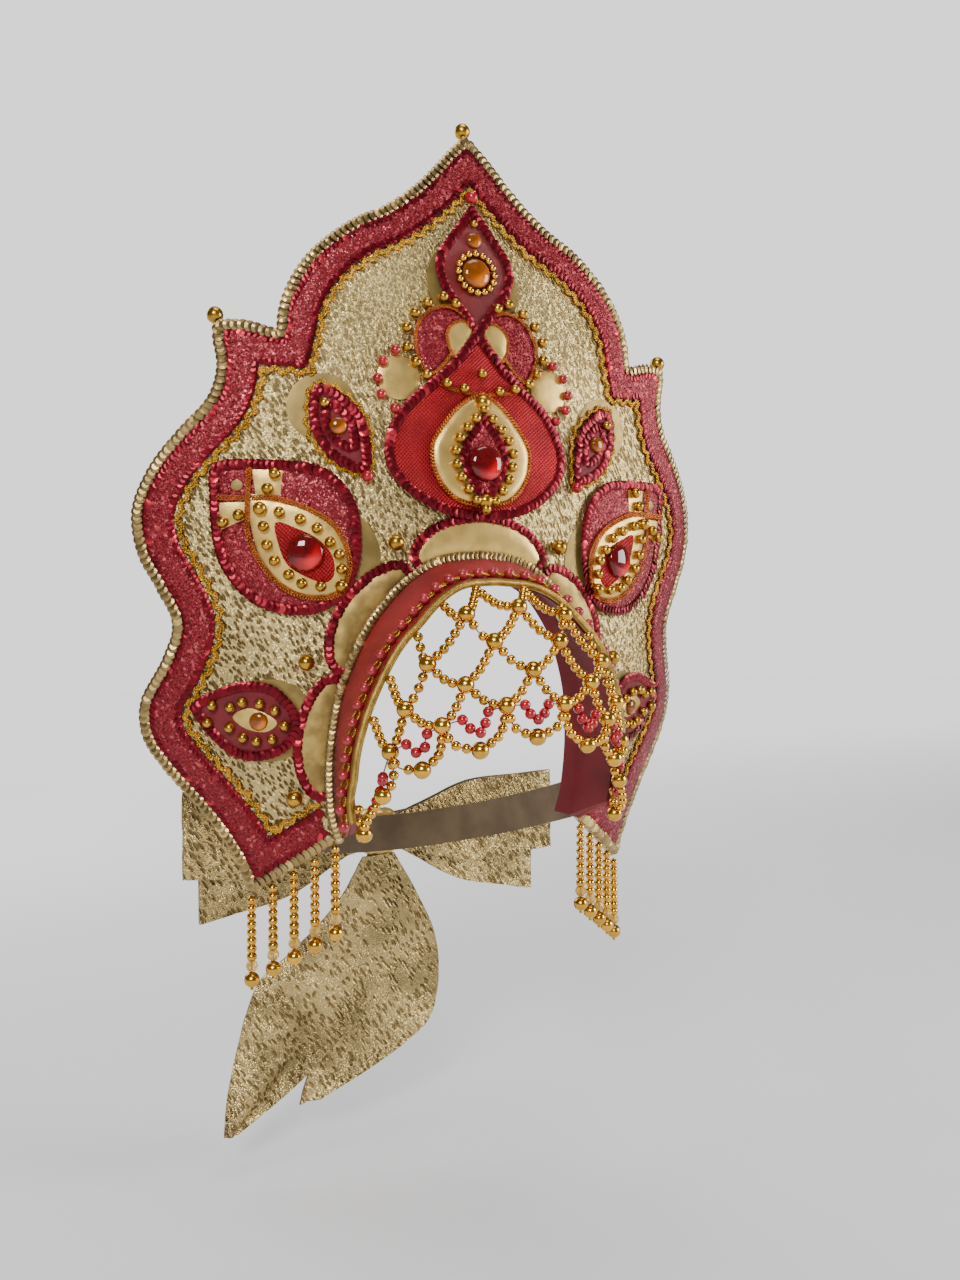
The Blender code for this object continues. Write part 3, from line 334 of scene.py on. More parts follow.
def inset_edge(line, depth):
    """The outline moved in by depth, with its outer corners kept sharp."""
    if depth == 0:
        return list(line)
    moved = []
    for i, point in enumerate(line):
        before = (point - line[i - 1]).normalized() if i else (line[1] - point).normalized()
        after = (line[i + 1] - point).normalized() if i < len(line) - 1 else before
        first, second = Vector((before.y, -before.x)), Vector((after.y, -after.x))
        shift = (first + second) / (1 + first.dot(second))
        if before.cross(after) > 0:
            shift *= min(1.0, NOTCH_REACH / shift.length)
        moved.append(point + shift * depth)
    away, _ = measured(moved, line, closed=False)
    kept = [i for i, far in enumerate(away) if far > 0.985 * abs(depth)]
    result = [moved[kept[0]]]
    for low, high in zip(kept, kept[1:]):
        if high > low + 1:
            meet = crossing(moved[low], moved[low + 1], moved[high], moved[high - 1])
            if meet and measured([meet], line, closed=False)[0][0] > 0.95 * abs(depth):
                result.append(meet)
        result.append(moved[high])
    apart = [result[0]]
    for point in result[1:]:
        if (point - apart[-1]).length > 0.3 * FINE:
            apart.append(point)
    return apart


def ended_at(line, side):
    """The moved outline with both ends on the upright lines at side."""
    def clip(points):
        while len(points) > 2 and abs(points[1].x) < side and abs(points[0].x) < side:
            points = points[1:]
        a, b = points[1], points[0]
        reach = math.copysign(side, a.x)
        return [a + (b - a) * (reach - a.x) / (b.x - a.x)] + points[1:]
    return clip(clip(list(line))[::-1])[::-1]


def strip_line(depth, shift=0.0):
    """The outline at a depth, ended where the strips of the border end."""
    end = min(ARCH_HALF, arch_place(ARCH[-1]).x + depth / 2) + ARCH_TRIM + 4 * GAP
    return ended_at(inset_edge(mirrored(edge_half()), depth + shift), end)


def arch_line(step=FINE):
    return mirrored(curve_through([arch_place(row) for row in ARCH], step=step))


def arch_shares(line):
    lengths = lengths_of(line)
    return [2 * length / lengths[-1] - 1 for length in lengths]


def arch_outward(line):
    result = []
    for i in range(len(line)):
        run = line[min(i + 1, len(line) - 1)] - line[max(i - 1, 0)]
        result.append(Vector((-run.y, run.x)).normalized())
    return result


def arch_moved(line, out):
    return [p + n * out for p, n in zip(line, arch_outward(line))]


def band_front(line):
    """The band's front edge, point for point along the arch."""
    result = []
    for point, share, out in zip(line, arch_shares(line), arch_outward(line)):
        inset = BAND_INSET * read(BAND, abs(share), 1)
        reach = BAND_REACH * read(BAND, abs(share), 2)
        moved = point - out * inset + Vector((0, BAND_REACH * read(BAND, abs(share), 3)))
        result.append(Vector((moved.x, bend(point.x, point.y) - reach, moved.y)))
    return result


def cord_route(step=0.0045):
    line = arch_line(step)
    return [p - Vector((n.x, 0, n.y)) * BAND_WALL / 2 - Vector((0, CORD_THICK / 2 + GAP, 0))
            for p, n in zip(band_front(line), arch_outward(line))]


def petal_loop(middle, half, rise, side):
    """The arc and the foot of a half-round petal on the arch."""
    line = arch_line(0.0022)
    start = ARCH_TRIM - 0.0012
    low, high = [], []
    for point, share, out in zip(line, arch_shares(line), arch_outward(line)):
        spot = (side * share - middle) / half
        if abs(spot) < 0.995:
            low.append(point + out * start)
            high.append(point + out * (start + (rise - start) * math.sqrt(1 - spot**2)))
    return low, high


def disc(centre, radius, step=0.003):
    count = max(16, round(2 * math.pi * radius / step))
    return [Vector((centre[0] + radius * math.cos(2 * math.pi * k / count),
                    centre[1] + radius * math.sin(2 * math.pi * k / count))) for k in range(count)]


def outline(rows, place=Vector, step=0.002):
    return curve_through([place(row) for row in rows], closed=True, step=step)


def flipped(line, side):
    return [Vector((side * p[0], p[1])) for p in line]


def pinned(x, z, height, size=1.0):
    """A single spot on the board, its way up and the size of what sits there."""
    return on_board(x, z, height), board_normal(x, z), size


def laid(line, height):
    """Points of a line over the board's face, each with its way up."""
    return [(on_board(p[0], p[1], height), board_normal(p[0], p[1])) for p in line]


# ---------------------------------------------------------------- meshes

def piece(name, mesh, slot, *replaced):
    """An object of the finished mesh that rides on the frame and stands for the named CAD nodes."""
    made = bpy.data.objects.new(name, mesh)
    bpy.context.scene.collection.objects.link(made)
    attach(made, "root")
    if replaced:
        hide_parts(*replaced)
    return made


def meshed(name, points, faces, finish, smooth=50):
    mesh = bpy.data.meshes.new(name)
    mesh.from_pydata([tuple(p) for p in points], [], faces)
    build = bmesh.new()
    build.from_mesh(mesh)
    bmesh.ops.recalc_face_normals(build, faces=build.faces)
    build.to_mesh(mesh)
    build.free()
    mesh.shade_smooth()
    mesh.set_sharp_from_angle(angle=math.radians(smooth))
    mesh.materials.append(finish_of(finish))
    return mesh


def patch_mesh(name, loop, low, high, finish, grid=0.004, dome=0.0, reach=0.012, lip=0.4, soft=0.0018):
    """A fine plate over the loop (x, z) that follows the board, rounded at its edge and domed inside."""
    loop = [Vector(p) for p in loop]
    if sum(a.x * b.y - b.x * a.y for a, b in zip(loop, loop[1:] + loop[:1])) < 0:
        loop = loop[::-1]
    spots = []
    left, right = min(p.x for p in loop), max(p.x for p in loop)
    foot, head = min(p.y for p in loop), max(p.y for p in loop)
    for j in range(math.ceil(foot / grid), math.floor(head / grid) + 1):
        for i in range(math.ceil(left / grid), math.floor(right / grid) + 1):
            spots.append(Vector(((i + 0.5 * (j % 2)) * grid, j * grid)))
    away, within = measured(spots, loop)
    extra = [(p, far) for p, far, odd in zip(spots, away, within) if odd and far > 0.4 * grid]
    n = len(loop)
    edges = [(i, (i + 1) % n) for i in range(n)]
    flat, _, faces, *_ = delaunay_2d_cdt(loop + [p for p, _ in extra], edges, [list(range(n))], 1, 1e-7)
    far = [0.0] * n + [d for _, d in extra]
    if len(flat) != len(far):
        far = list(measured(flat, loop)[0])
    front = []
    for p, d in zip(flat, far):
        height = high - (high - low) * lip * (1 - min(1.0, d / soft)) ** 2
        front.append(on_board(p.x, p.y, height + dome * (1 - (1 - min(1.0, d / reach)) ** 2)))
    back = [on_board(p.x, p.y, low) for p in flat]
    count = len(flat)
    walls = {}
    for face in faces:
        for a, b in zip(face, face[1:] + face[:1]):
            if walls.pop((b, a), None) is None:
                walls[(a, b)] = 1
    made = [tuple(face) for face in faces]
    made += [tuple(i + count for i in reversed(face)) for face in faces]
    made += [(b, a, a + count, b + count) for a, b in walls]
    return meshed(name, front + back, made, finish, smooth=40)


def patch(name, loop, low, high, finish, slot, *replaced, **shape):
    return piece(name, patch_mesh(name, loop, low, high, finish, **shape), slot, *replaced)


def both(name, loop, low, high, finish, slot, *replaced, **shape):
    """The same patch on the right and on the left; replaced are the CAD nodes' names without a side."""
    for side, label in ((1, "right"), (-1, "left")):
        patch(f"{name}_{label}", flipped(loop, side), low, high, finish, slot,
              *[f"{node}_{label}" for node in replaced], **shape)


def turned_mesh(name, x, z, base, profile, finish, sides=32):
    """A round piece on the board, turned from (radius, height); its painted glow, which its finish turns into colour
    and emission, grows toward one lower side.
    """
    normal = board_normal(x, z)
    across = Vector((0, 0, 1)).cross(normal).normalized()
    along = normal.cross(across)
    foot = on_board(x, z, base)
    points, faces, glow = [foot + normal * profile[0][1]], [], [0.0]
    widest = max(radius for radius, _ in profile)
    for radius, height in profile[1:-1]:
        for k in range(sides):
            turn = 2 * math.pi * k / sides
            points.append(foot + normal * height + (across * math.cos(turn) + along * math.sin(turn)) * radius)
            reach = radius / widest
            # Painted glow: strongest part way out from the middle, toward one lower side, fixed on the points
            glow.append(1.9 * reach * (1 - reach**4) * (0.5 + 0.5 * math.cos(turn + 0.9)) ** 2)
    points.append(foot + normal * profile[-1][1])
    glow.append(0.0)
    rows = len(profile) - 2
    for k in range(sides):
        after = (k + 1) % sides
        faces.append((0, 1 + k, 1 + after))
        for r in range(rows - 1):
            a, b = 1 + r * sides + k, 1 + r * sides + after
            faces.append((a, a + sides, b + sides, b))
        last = 1 + (rows - 1) * sides
        faces.append((last + after, last + k, len(points) - 1))
    mesh = meshed(name, points, faces, finish, smooth=35)
    attribute(mesh, "glow", glow)
    return mesh


def cabochon(width, rise, steps=9):
    """A domed stone's profile from its top, over its girdle, to its flat back."""
    half = width / 2
    rows = [(0, rise)]
    for k in range(1, steps + 1):
        turn = math.pi / 2 * k / steps
        rows.append((half * math.sin(turn), rise * (0.16 + 0.84 * math.cos(turn) ** 0.8)))
    return rows + [(half, 0), (0, 0)]


def refined(points, times):
    """The points with a smooth curve's points between them, times to a span."""
    n = len(points)
    result = []
    for i in range(n - 1):
        b, c = points[i], points[i + 1]
        a = points[i - 1] if i else 2 * b - c
        d = points[i + 2] if i + 2 < n else 2 * c - b
        result += [between_points(a, b, c, d, k / times) for k in range(times)]
    return result + [points[-1]]


def refined_grid(grid, along, across):
    columns = [refined([row[j] for row in grid], along) for j in range(len(grid[0]))]
    return [refined([column[i] for column in columns], across) for i in range(len(columns[0]))]


def slab_mesh(name, grid, thick, finish, back_finish, ring=False, crease=0.0, seed=0):
    """A closed sheet over a grid of points, creased by noise and thickened along its normals."""
    rows, columns = len(grid), len(grid[0])
    normals = []
    for i in range(rows):
        for j in range(columns):
            if ring:
                along = grid[(i + 1) % rows][j] - grid[i - 1][j]
            else:
                along = grid[min(i + 1, rows - 1)][j] - grid[max(i - 1, 0)][j]
            across = grid[i][min(j + 1, columns - 1)] - grid[i][max(j - 1, 0)]
            normals.append(along.cross(across).normalized())
    front = []
    for p, n in zip([p for row in grid for p in row], normals):
        spot = p * 38 + Vector((seed, 0, 0))
        front.append(p + n * crease * (abs(noise.noise(spot)) + 0.5 * noise.noise(spot * 2.3) - 0.15))
    back = [p + n * thick for p, n in zip(front, normals)]
    count = rows * columns
    faces = []
    for i in range(rows if ring else rows - 1):
        for j in range(columns - 1):
            a, b = i * columns + j, (i + 1) % rows * columns + j
            faces += [(a, a + 1, b + 1, b), (a + count, b + count, b + 1 + count, a + 1 + count)]
        for j in (0, columns - 1):
            a, b = i * columns + j, (i + 1) % rows * columns + j
            faces.append((a, b, b + count, a + count))
    if not ring:
        for i in (0, rows - 1):
            for j in range(columns - 1):
                a = i * columns + j
                faces.append((a, a + 1, a + 1 + count, a + count))
    mesh = meshed(name, front + back, faces, finish)
    mesh.materials.append(finish_of(back_finish))
    for face in mesh.polygons:
        if min(face.vertices) >= count:
            face.material_index = 1
    return mesh


def band_sections(outer, inner, back, front, pad=0.0, rows=5):
    """Sections of a wall between the arch and the band's front edge, as in the CAD but finer."""
    line = arch_line(0.0045)
    sections = []
    for point, edge, out in zip(line, band_front(line), arch_outward(line)):
        away = Vector((out.x, 0, out.y))
        foot = on_board(point.x, point.y) - away * 2 * GAP
        knee = foot - Vector((0, 2 * LIFT + EDGE_RISE, 0))
        stations = []
        if back is None:
            stations.append((on_board(point.x, point.y, -BOARD_WALL) - away * 2 * GAP, pad))
        for k in range(rows):
            share = between(back or 0.0, front, k / (rows - 1))
            stations.append((knee.lerp(edge, share), pad / 2 * (1 - k / (rows - 1))))
        outside = [spot - away * outer for spot, _ in stations]
        sections.append(outside + [spot - away * (inner + more) for spot, more in reversed(stations)])
    return sections


def lofted(name, sections, finish):
    points = [p for rows in sections for p in rows]
    n = len(sections[0])
    faces = [(k, k + 1, n - 2 - k, n - 1 - k) for k in range(n // 2 - 1)]
    for i in range(len(sections) - 1):
        for k in range(n):
            a, b = n * i + k, n * i + (k + 1) % n
            faces.append((a, a + n, b + n, b))
    last = len(points) - n
    faces += [(last + n - 1 - k, last + n - 2 - k, last + k + 1, last + k) for k in range(n // 2 - 1)]
    return meshed(name, points, faces, finish)


def band_path(share, lift):
    """Points along the band's outer face at a share from the board to its front edge, with their way up."""
    line = arch_line(0.0045)
    result = []
    for point, edge, out in zip(line, band_front(line), arch_outward(line)):
        away = Vector((out.x, 0, out.y))
        knee = on_board(point.x, point.y) - away * 2 * GAP - Vector((0, 2 * LIFT + EDGE_RISE, 0))
        result.append((knee.lerp(edge, share) + away * lift, away))
    return result


# ---------------------------------------------------------------- geometry nodes

def attribute(mesh, name, values, kind="FLOAT"):
    made = mesh.attributes.new(name, kind, "POINT")
    for spot, value in zip(made.data, values):
        if kind == "FLOAT":
            spot.value = value
        else:
            spot.vector = value


def feed(tree, socket, value):
    """Link the socket to the one given as value, or set it; a colour of three parts becomes opaque."""
    if isinstance(value, bpy.types.NodeSocket):
        tree.links.new(value, socket)
    elif socket.type == "RGBA" and len(value) == 3:
        socket.default_value = (*value, 1.0)
    else:
        socket.default_value = value


def add(tree, kind, values=None, **settings):
    """A node with its settings, and with its sockets linked or set."""
    made = tree.nodes.new(kind)
    for key, value in settings.items():
        setattr(made, key, value)
    for key, value in (values or {}).items():
        feed(tree, made.inputs[key], value)
    return made


def calc(tree, operation, a, b=0.0, c=0.0):
    return add(tree, "ShaderNodeMath", {0: a, 1: b, 2: c}, operation=operation).outputs[0]


def vector_calc(tree, operation, a, b=(0, 0, 0), scale=None):
    values = {0: a, 3: scale} if operation == "SCALE" else {0: a, 1: b}
    return add(tree, "ShaderNodeVectorMath", values, operation=operation).outputs[0]


def new_tree(name, sockets):
    tree = bpy.data.node_groups.new(name, "GeometryNodeTree")
    tree.interface.new_socket("Path", in_out="INPUT", socket_type="NodeSocketGeometry")
    for label, kind, default in sockets:
        made = tree.interface.new_socket(label, in_out="INPUT", socket_type="NodeSocket" + kind)
        if default is not None:
            made.default_value = default
    tree.interface.new_socket("Mesh", in_out="OUTPUT", socket_type="NodeSocketGeometry")
    return tree, add(tree, "NodeGroupInput").outputs, add(tree, "NodeGroupOutput")


def named(tree, name, kind="FLOAT_VECTOR"):
    return add(tree, "GeometryNodeInputNamedAttribute", {"Name": name}, data_type=kind).outputs[0]


def stored(tree, geometry, name, value, domain="POINT"):
    return add(tree, "GeometryNodeStoreNamedAttribute", {"Geometry": geometry, "Name": name, "Value": value},
               data_type="FLOAT", domain=domain).outputs[0]


def ended(tree, geometry, given, result):
    """The tree, ended in plain meshes with their material."""
    body = add(tree, "GeometryNodeRealizeInstances", {"Geometry": geometry}).outputs[0]
    body = add(tree, "GeometryNodeSetMaterial", {"Geometry": body, "Material": given["Finish"]}).outputs[0]
    tree.links.new(body, result.inputs[0])
    return tree


def row_tree(shape, spread="LENGTH"):
    """Sequins or beads along a path, by their pitch or by their count, or one at each point."""
    name = f"{shape}_row_{spread.lower()}"
    if name in bpy.data.node_groups:
        return bpy.data.node_groups[name]
    tree, given, result = new_tree(name, (
        ("Pitch", "Float", 0.004), ("Count", "Int", 3), ("Width", "Float", 0.006), ("Rise", "Float", 0.0008),
        ("Tilt", "Float", 0.35), ("Wobble", "Float", 0.08), ("Swell", "Float", 0.0), ("Seed", "Int", 1),
        ("Finish", "Material", None),
    ))
    spots = given["Path"]
    if spread != "SPOTS":
        curve = add(tree, "GeometryNodeMeshToCurve", {"Mesh": spots})
        key = "Length" if spread == "LENGTH" else "Count"
        amount = given["Pitch"] if spread == "LENGTH" else given["Count"]
        spots = add(tree, "GeometryNodeResampleCurve", {"Curve": curve.outputs[0], key: amount}, mode=spread)
        spots = spots.outputs[0]
    half = calc(tree, "MULTIPLY", given["Width"], 0.5)
    if shape == "sequin":
        form = add(tree, "GeometryNodeMeshCone", {
            "Vertices": 12, "Radius Top": calc(tree, "MULTIPLY", half, 0.55), "Radius Bottom": half,
            "Depth": given["Rise"],
        }, fill_type="NGON").outputs["Mesh"]
    elif shape == "facet":
        form = add(tree, "GeometryNodeMeshIcoSphere", {"Radius": half, "Subdivisions": 2}).outputs["Mesh"]
    else:
        fine = 16 if shape == "ball" else 10
        form = add(tree, "GeometryNodeMeshUVSphere", {"Segments": fine, "Rings": fine // 2 + 1, "Radius": half})
        form = add(tree, "GeometryNodeSetShadeSmooth", {"Geometry": form.outputs["Mesh"]}).outputs[0]
    way = named(tree, "up")
    turn = add(tree, "FunctionNodeAlignRotationToVector", {"Vector": way}, axis="Z").outputs[0]
    if spread != "SPOTS":
        tangent = add(tree, "GeometryNodeInputTangent").outputs[0]
        turn = add(tree, "FunctionNodeAlignRotationToVector", {"Rotation": turn, "Vector": tangent},
                   axis="X", pivot_axis="Z").outputs[0]
    wobble = add(tree, "FunctionNodeRandomValue", {
        0: (-1, -1, -1), 1: (1, 1, 1), "Seed": given["Seed"]}, data_type="FLOAT_VECTOR").outputs[0]
    wobble = vector_calc(tree, "SCALE", wobble, scale=given["Wobble"])
    tilt = add(tree, "ShaderNodeCombineXYZ", {"Y": given["Tilt"]}).outputs[0]
    lean = add(tree, "FunctionNodeEulerToRotation", {0: vector_calc(tree, "ADD", tilt, wobble)}).outputs[0]
    turn = add(tree, "FunctionNodeRotateRotation", {"Rotation": turn, "Rotate By": lean},
               rotation_space="LOCAL").outputs[0]
    if spread == "SPOTS":
        size = named(tree, "size", "FLOAT")
    else:
        along = add(tree, "GeometryNodeSplineParameter").outputs["Factor"]
        size = calc(tree, "MULTIPLY_ADD", along, given["Swell"], 1.0)
    rows = add(tree, "GeometryNodeInstanceOnPoints", {
        "Points": spots, "Instance": form, "Rotation": turn, "Scale": size}).outputs[0]
    shade = add(tree, "FunctionNodeRandomValue", {"Seed": given["Seed"]}, data_type="FLOAT")
    shade = next(s for s in shade.outputs if s.enabled)
    return ended(tree, stored(tree, rows, "shade", shade, "INSTANCE"), given, result)


def plait_tree(strands, rope=False):
    """Threads that swing from side to side along a path, as a flat plait or a twisted rope."""
    name = f"{'rope' if rope else 'plait'}_{strands}"
    if name in bpy.data.node_groups:
        return bpy.data.node_groups[name]
    tree, given, result = new_tree(name, (
        ("Reach", "Float", 0.0015), ("Period", "Float", 0.011), ("Lift", "Float", 0.0004),
        ("Thick", "Float", 0.0014), ("Sides", "Int", 6), ("Wave", "Float", 0.0), ("Wavelength", "Float", 0.0115),
        ("Finish", "Material", None),
    ))
    curve = add(tree, "GeometryNodeMeshToCurve", {"Mesh": given["Path"]}).outputs[0]
    if strands > 1:
        step = calc(tree, "DIVIDE", given["Period"], 10.0)
        curve = add(tree, "GeometryNodeResampleCurve", {"Curve": curve, "Length": step}, mode="LENGTH").outputs[0]
    along = add(tree, "GeometryNodeSplineParameter").outputs["Length"]
    curve = stored(tree, curve, "along", along)
    way = named(tree, "up")
    tangent = add(tree, "GeometryNodeInputTangent").outputs[0]
    side = vector_calc(tree, "NORMALIZE", vector_calc(tree, "CROSS_PRODUCT", way, tangent))
    round_ = add(tree, "GeometryNodeCurvePrimitiveCircle", {
        "Resolution": given["Sides"], "Radius": calc(tree, "MULTIPLY", given["Thick"], 0.5)}).outputs[0]
    turn = add(tree, "GeometryNodeSplineParameter").outputs["Factor"]
    round_ = stored(tree, round_, "around", turn)
    slow = calc(tree, "MULTIPLY", calc(tree, "DIVIDE", along, given["Wavelength"]), 2 * math.pi)
    slow = calc(tree, "MULTIPLY", calc(tree, "SINE", slow), given["Wave"])
    joined = add(tree, "GeometryNodeJoinGeometry")
    for k in range(strands):
        swing = calc(tree, "DIVIDE", along, given["Period"])
        swing = calc(tree, "MULTIPLY_ADD", swing, 2 * math.pi, 2 * math.pi * k / strands)
        out = calc(tree, "MULTIPLY_ADD", calc(tree, "SINE", swing), given["Reach"], slow)
        if rope:
            rise = calc(tree, "MULTIPLY", calc(tree, "COSINE", swing), given["Lift"])
        else:
            rise = calc(tree, "MULTIPLY", calc(tree, "SINE", calc(tree, "MULTIPLY", swing, 2.0)), given["Lift"])
        moved = vector_calc(tree, "ADD", vector_calc(tree, "SCALE", side, scale=out),
                            vector_calc(tree, "SCALE", way, scale=rise))
        thread = add(tree, "GeometryNodeSetPosition", {"Geometry": curve, "Offset": moved}).outputs[0]
        thread = add(tree, "GeometryNodeCurveToMesh", {
            "Curve": thread, "Profile Curve": round_, "Fill Caps": True}).outputs[0]
        tree.links.new(thread, joined.inputs[0])
    body = add(tree, "GeometryNodeSetShadeSmooth", {"Geometry": joined.outputs[0]}).outputs[0]
    return ended(tree, body, given, result)


def routes(lines, closed=False):
    """A bare object of paths; each line is a list of (point, way up)."""
    points, ups, edges = [], [], []
    for line in lines:
        first = len(points)
        points += [tuple(p) for p, _ in line]
        ups += [n for _, n in line]
        edges += [(i, i + 1) for i in range(first, len(points) - 1)]
        if closed:
            edges.append((len(points) - 1, first))
    mesh = bpy.data.meshes.new("routes")
    mesh.from_pydata(points, edges, [])
    attribute(mesh, "up", ups, "FLOAT_VECTOR")
    made = bpy.data.objects.new("routes", mesh)
    bpy.context.scene.collection.objects.link(made)
    return made


def spots_at(rows):
    """A bare object of single points; each row is (point, way up, share of the full width)."""
    made = routes([[(p, n)] for p, n, _ in rows])
    attribute(made.data, "size", [size for _, _, size in rows])
    return made


def grown(name, base, tree, finish, slot, *replaced, **inputs):
    """Run the tree on the base, and keep what it makes as a plain mesh."""
    modifier = base.modifiers.new("grow", "NODES")
    modifier.node_group = tree
    inputs["Finish"] = finish_of(finish)
    for item in tree.interface.items_tree:
        if item.item_type == "SOCKET" and item.in_out == "INPUT" and item.name in inputs:
            modifier[item.identifier] = inputs[item.name]
    graph = bpy.context.evaluated_depsgraph_get()
    mesh = bpy.data.meshes.new_from_object(base.evaluated_get(graph), preserve_all_data_layers=True,
                                           depsgraph=graph)
    bpy.data.objects.remove(base)
    return piece(name, mesh, slot, *replaced)


def sequins(name, lines, finish, slot, *replaced, width, pitch, closed=False, **more):
    return grown(name, routes(lines, closed), row_tree("sequin"), finish, slot, *replaced,
                 Width=width, Pitch=pitch, **more)


def beads_at(name, rows, shape, finish, slot, *replaced, width, **more):
    return grown(name, spots_at(rows), row_tree(shape, "SPOTS"), finish, slot, *replaced,
                 **{"Width": width, "Tilt": 0.0, "Wobble": 0.4, **more})


def braided(name, base, strands, *replaced, rope=False, finish="braid", **inputs):
    return grown(name, base, plait_tree(strands, rope), finish, "gold_braid", *replaced, **inputs)


# ---------------------------------------------------------------- shader groups and finishes

def shader_group(name, inputs, outputs):
    tree = bpy.data.node_groups.new(name, "ShaderNodeTree")
    for label, kind, default in inputs:
        made = tree.interface.new_socket(label, in_out="INPUT", socket_type="NodeSocket" + kind)
        if default is not None:
            made.default_value = default
    for label, kind in outputs:
        tree.interface.new_socket(label, in_out="OUTPUT", socket_type="NodeSocket" + kind)
    return tree, add(tree, "NodeGroupInput").outputs, add(tree, "NodeGroupOutput")


def ramp(tree, value, low, high):
    """0 below low, 1 above high, smooth between."""
    return add(tree, "ShaderNodeMapRange", {"Value": value, "From Min": low, "From Max": high},
               interpolation_type="SMOOTHSTEP").outputs[0]


def mixed(tree, share, a, b):
    return add(tree, "ShaderNodeMix", {0: share, 6: a, 7: b}, data_type="RGBA").outputs[2]


def carried(tree, name):
    """A value that the points of the mesh carry."""
    return add(tree, "ShaderNodeAttribute", attribute_name=name).outputs["Fac"]


def group_flakes():
    """Small flakes that each face their own way, as in glitter and foil."""
    tree, given, result = shader_group(
        "flakes", (("Vector", "Vector", None), ("Scale", "Float", 900.0), ("Share", "Float", 0.1),
                   ("Tilt", "Float", 0.6)),
        (("Mask", "Float"), ("Shade", "Float"), ("Normal", "Vector")))
    cells = add(tree, "ShaderNodeTexVoronoi", {"Vector": given["Vector"], "Scale": given["Scale"]})
    parts = add(tree, "ShaderNodeSeparateColor", {"Color": cells.outputs["Color"]})
    cut = calc(tree, "SUBTRACT", 1.0, given["Share"])
    tree.links.new(calc(tree, "GREATER_THAN", parts.outputs["Green"], cut), result.inputs["Mask"])
    tree.links.new(parts.outputs["Red"], result.inputs["Shade"])
    lean = vector_calc(tree, "SUBTRACT", cells.outputs["Color"], (0.5, 0.5, 0.5))
    lean = vector_calc(tree, "SCALE", lean, scale=given["Tilt"])
    normal = add(tree, "ShaderNodeNewGeometry").outputs["Normal"]
    turned = vector_calc(tree, "NORMALIZE", vector_calc(tree, "ADD", normal, lean))
    tree.links.new(turned, result.inputs["Normal"])
    return tree


def group_strokes():
    """Short strokes whose direction drifts, as in embossed leatherette."""
    tree, given, result = shader_group(
        "strokes", (("Vector", "Vector", None), ("Wide", "Float", 0.0022), ("Long", "Float", 0.0060),
                    ("Drift", "Float", 0.009)),
        (("Mask", "Float"), ("Height", "Float")))
    drift = add(tree, "ShaderNodeTexNoise", {"Vector": given["Vector"], "Scale": 28.0, "Detail": 1.0})
    moved = vector_calc(tree, "SUBTRACT", drift.outputs["Color"], (0.5, 0.5, 0.5))
    moved = vector_calc(tree, "SCALE", moved, scale=given["Drift"])
    moved = vector_calc(tree, "ADD", given["Vector"], moved)
    moved = add(tree, "ShaderNodeVectorRotate", {"Vector": moved, "Angle": 0.6}, rotation_type="Y_AXIS").outputs[0]
    shape = add(tree, "ShaderNodeCombineXYZ", {"X": given["Wide"], "Y": given["Wide"], "Z": given["Long"]})
    moved = vector_calc(tree, "DIVIDE", moved, shape.outputs[0])
    away = add(tree, "ShaderNodeTexVoronoi", {"Vector": moved, "Scale": 1.0}).outputs["Distance"]
    tree.links.new(ramp(tree, away, 0.48, 0.30), result.inputs["Mask"])
    tree.links.new(ramp(tree, away, 0.10, 0.55), result.inputs["Height"])
    return tree


def group_patina_and_painted_reflection():
    """Slow changes over a surface: matt patches, rubbed places and handling marks, and on the embossed leatherette
    patches of painted reflection.
    """
    tree, given, result = shader_group(
        "patina_and_painted_reflection", (("Vector", "Vector", None), ("Scale", "Float", 30.0), ("Low", "Float", 0.35),
                   ("High", "Float", 0.65)),
        (("Mask", "Float"), ("Fine", "Float")))
    slow = add(tree, "ShaderNodeTexNoise", {"Vector": given["Vector"], "Scale": given["Scale"], "Detail": 5.0})
    tree.links.new(ramp(tree, slow.outputs["Fac"], given["Low"], given["High"]), result.inputs["Mask"])
    quick = calc(tree, "MULTIPLY", given["Scale"], 25.0)
    fine = add(tree, "ShaderNodeTexNoise", {"Vector": given["Vector"], "Scale": quick, "Detail": 3.0})
    tree.links.new(fine.outputs["Fac"], result.inputs["Fine"])
    return tree


def group_weave():
    """Warp and weft threads at right angles."""
    tree, given, result = shader_group(
        "weave", (("Vector", "Vector", None), ("Pitch", "Float", 0.0008)),
        (("Height", "Float"), ("Mask", "Float")))
    angle = vector_calc(tree, "SCALE", given["Vector"], scale=calc(tree, "DIVIDE", 2 * math.pi, given["Pitch"]))
    x, y, z = add(tree, "ShaderNodeSeparateXYZ", {0: angle}).outputs
    warp = calc(tree, "SINE", calc(tree, "ADD", x, z))
    weft = calc(tree, "SINE", calc(tree, "SUBTRACT", x, calc(tree, "ADD", z, y)))
    both_ways = calc(tree, "MAXIMUM", warp, weft)
    tree.links.new(both_ways, result.inputs["Height"])
    tree.links.new(ramp(tree, both_ways, -0.2, 0.9), result.inputs["Mask"])
    return tree


def group_yarn():
    """Fibres that wind round a thread, from the along and around values of a grown thread."""
    tree, given, result = shader_group(
        "yarn", (("Pitch", "Float", 0.0009), ("Turns", "Float", 1.0)), (("Height", "Float"), ("Mask", "Float")))
    along = carried(tree, "along")
    around = carried(tree, "around")
    wound = calc(tree, "MULTIPLY", around, given["Turns"])
    angle = calc(tree, "ADD", calc(tree, "DIVIDE", along, given["Pitch"]), wound)
    wave = calc(tree, "SINE", calc(tree, "MULTIPLY", angle, 2 * math.pi))
    tree.links.new(wave, result.inputs["Height"])
    tree.links.new(ramp(tree, wave, -0.6, 0.7), result.inputs["Mask"])
    return tree


GROUPS = {"flakes": group_flakes, "strokes": group_strokes, "patina_and_painted_reflection": group_patina_and_painted_reflection, "weave": group_weave,
          "yarn": group_yarn}


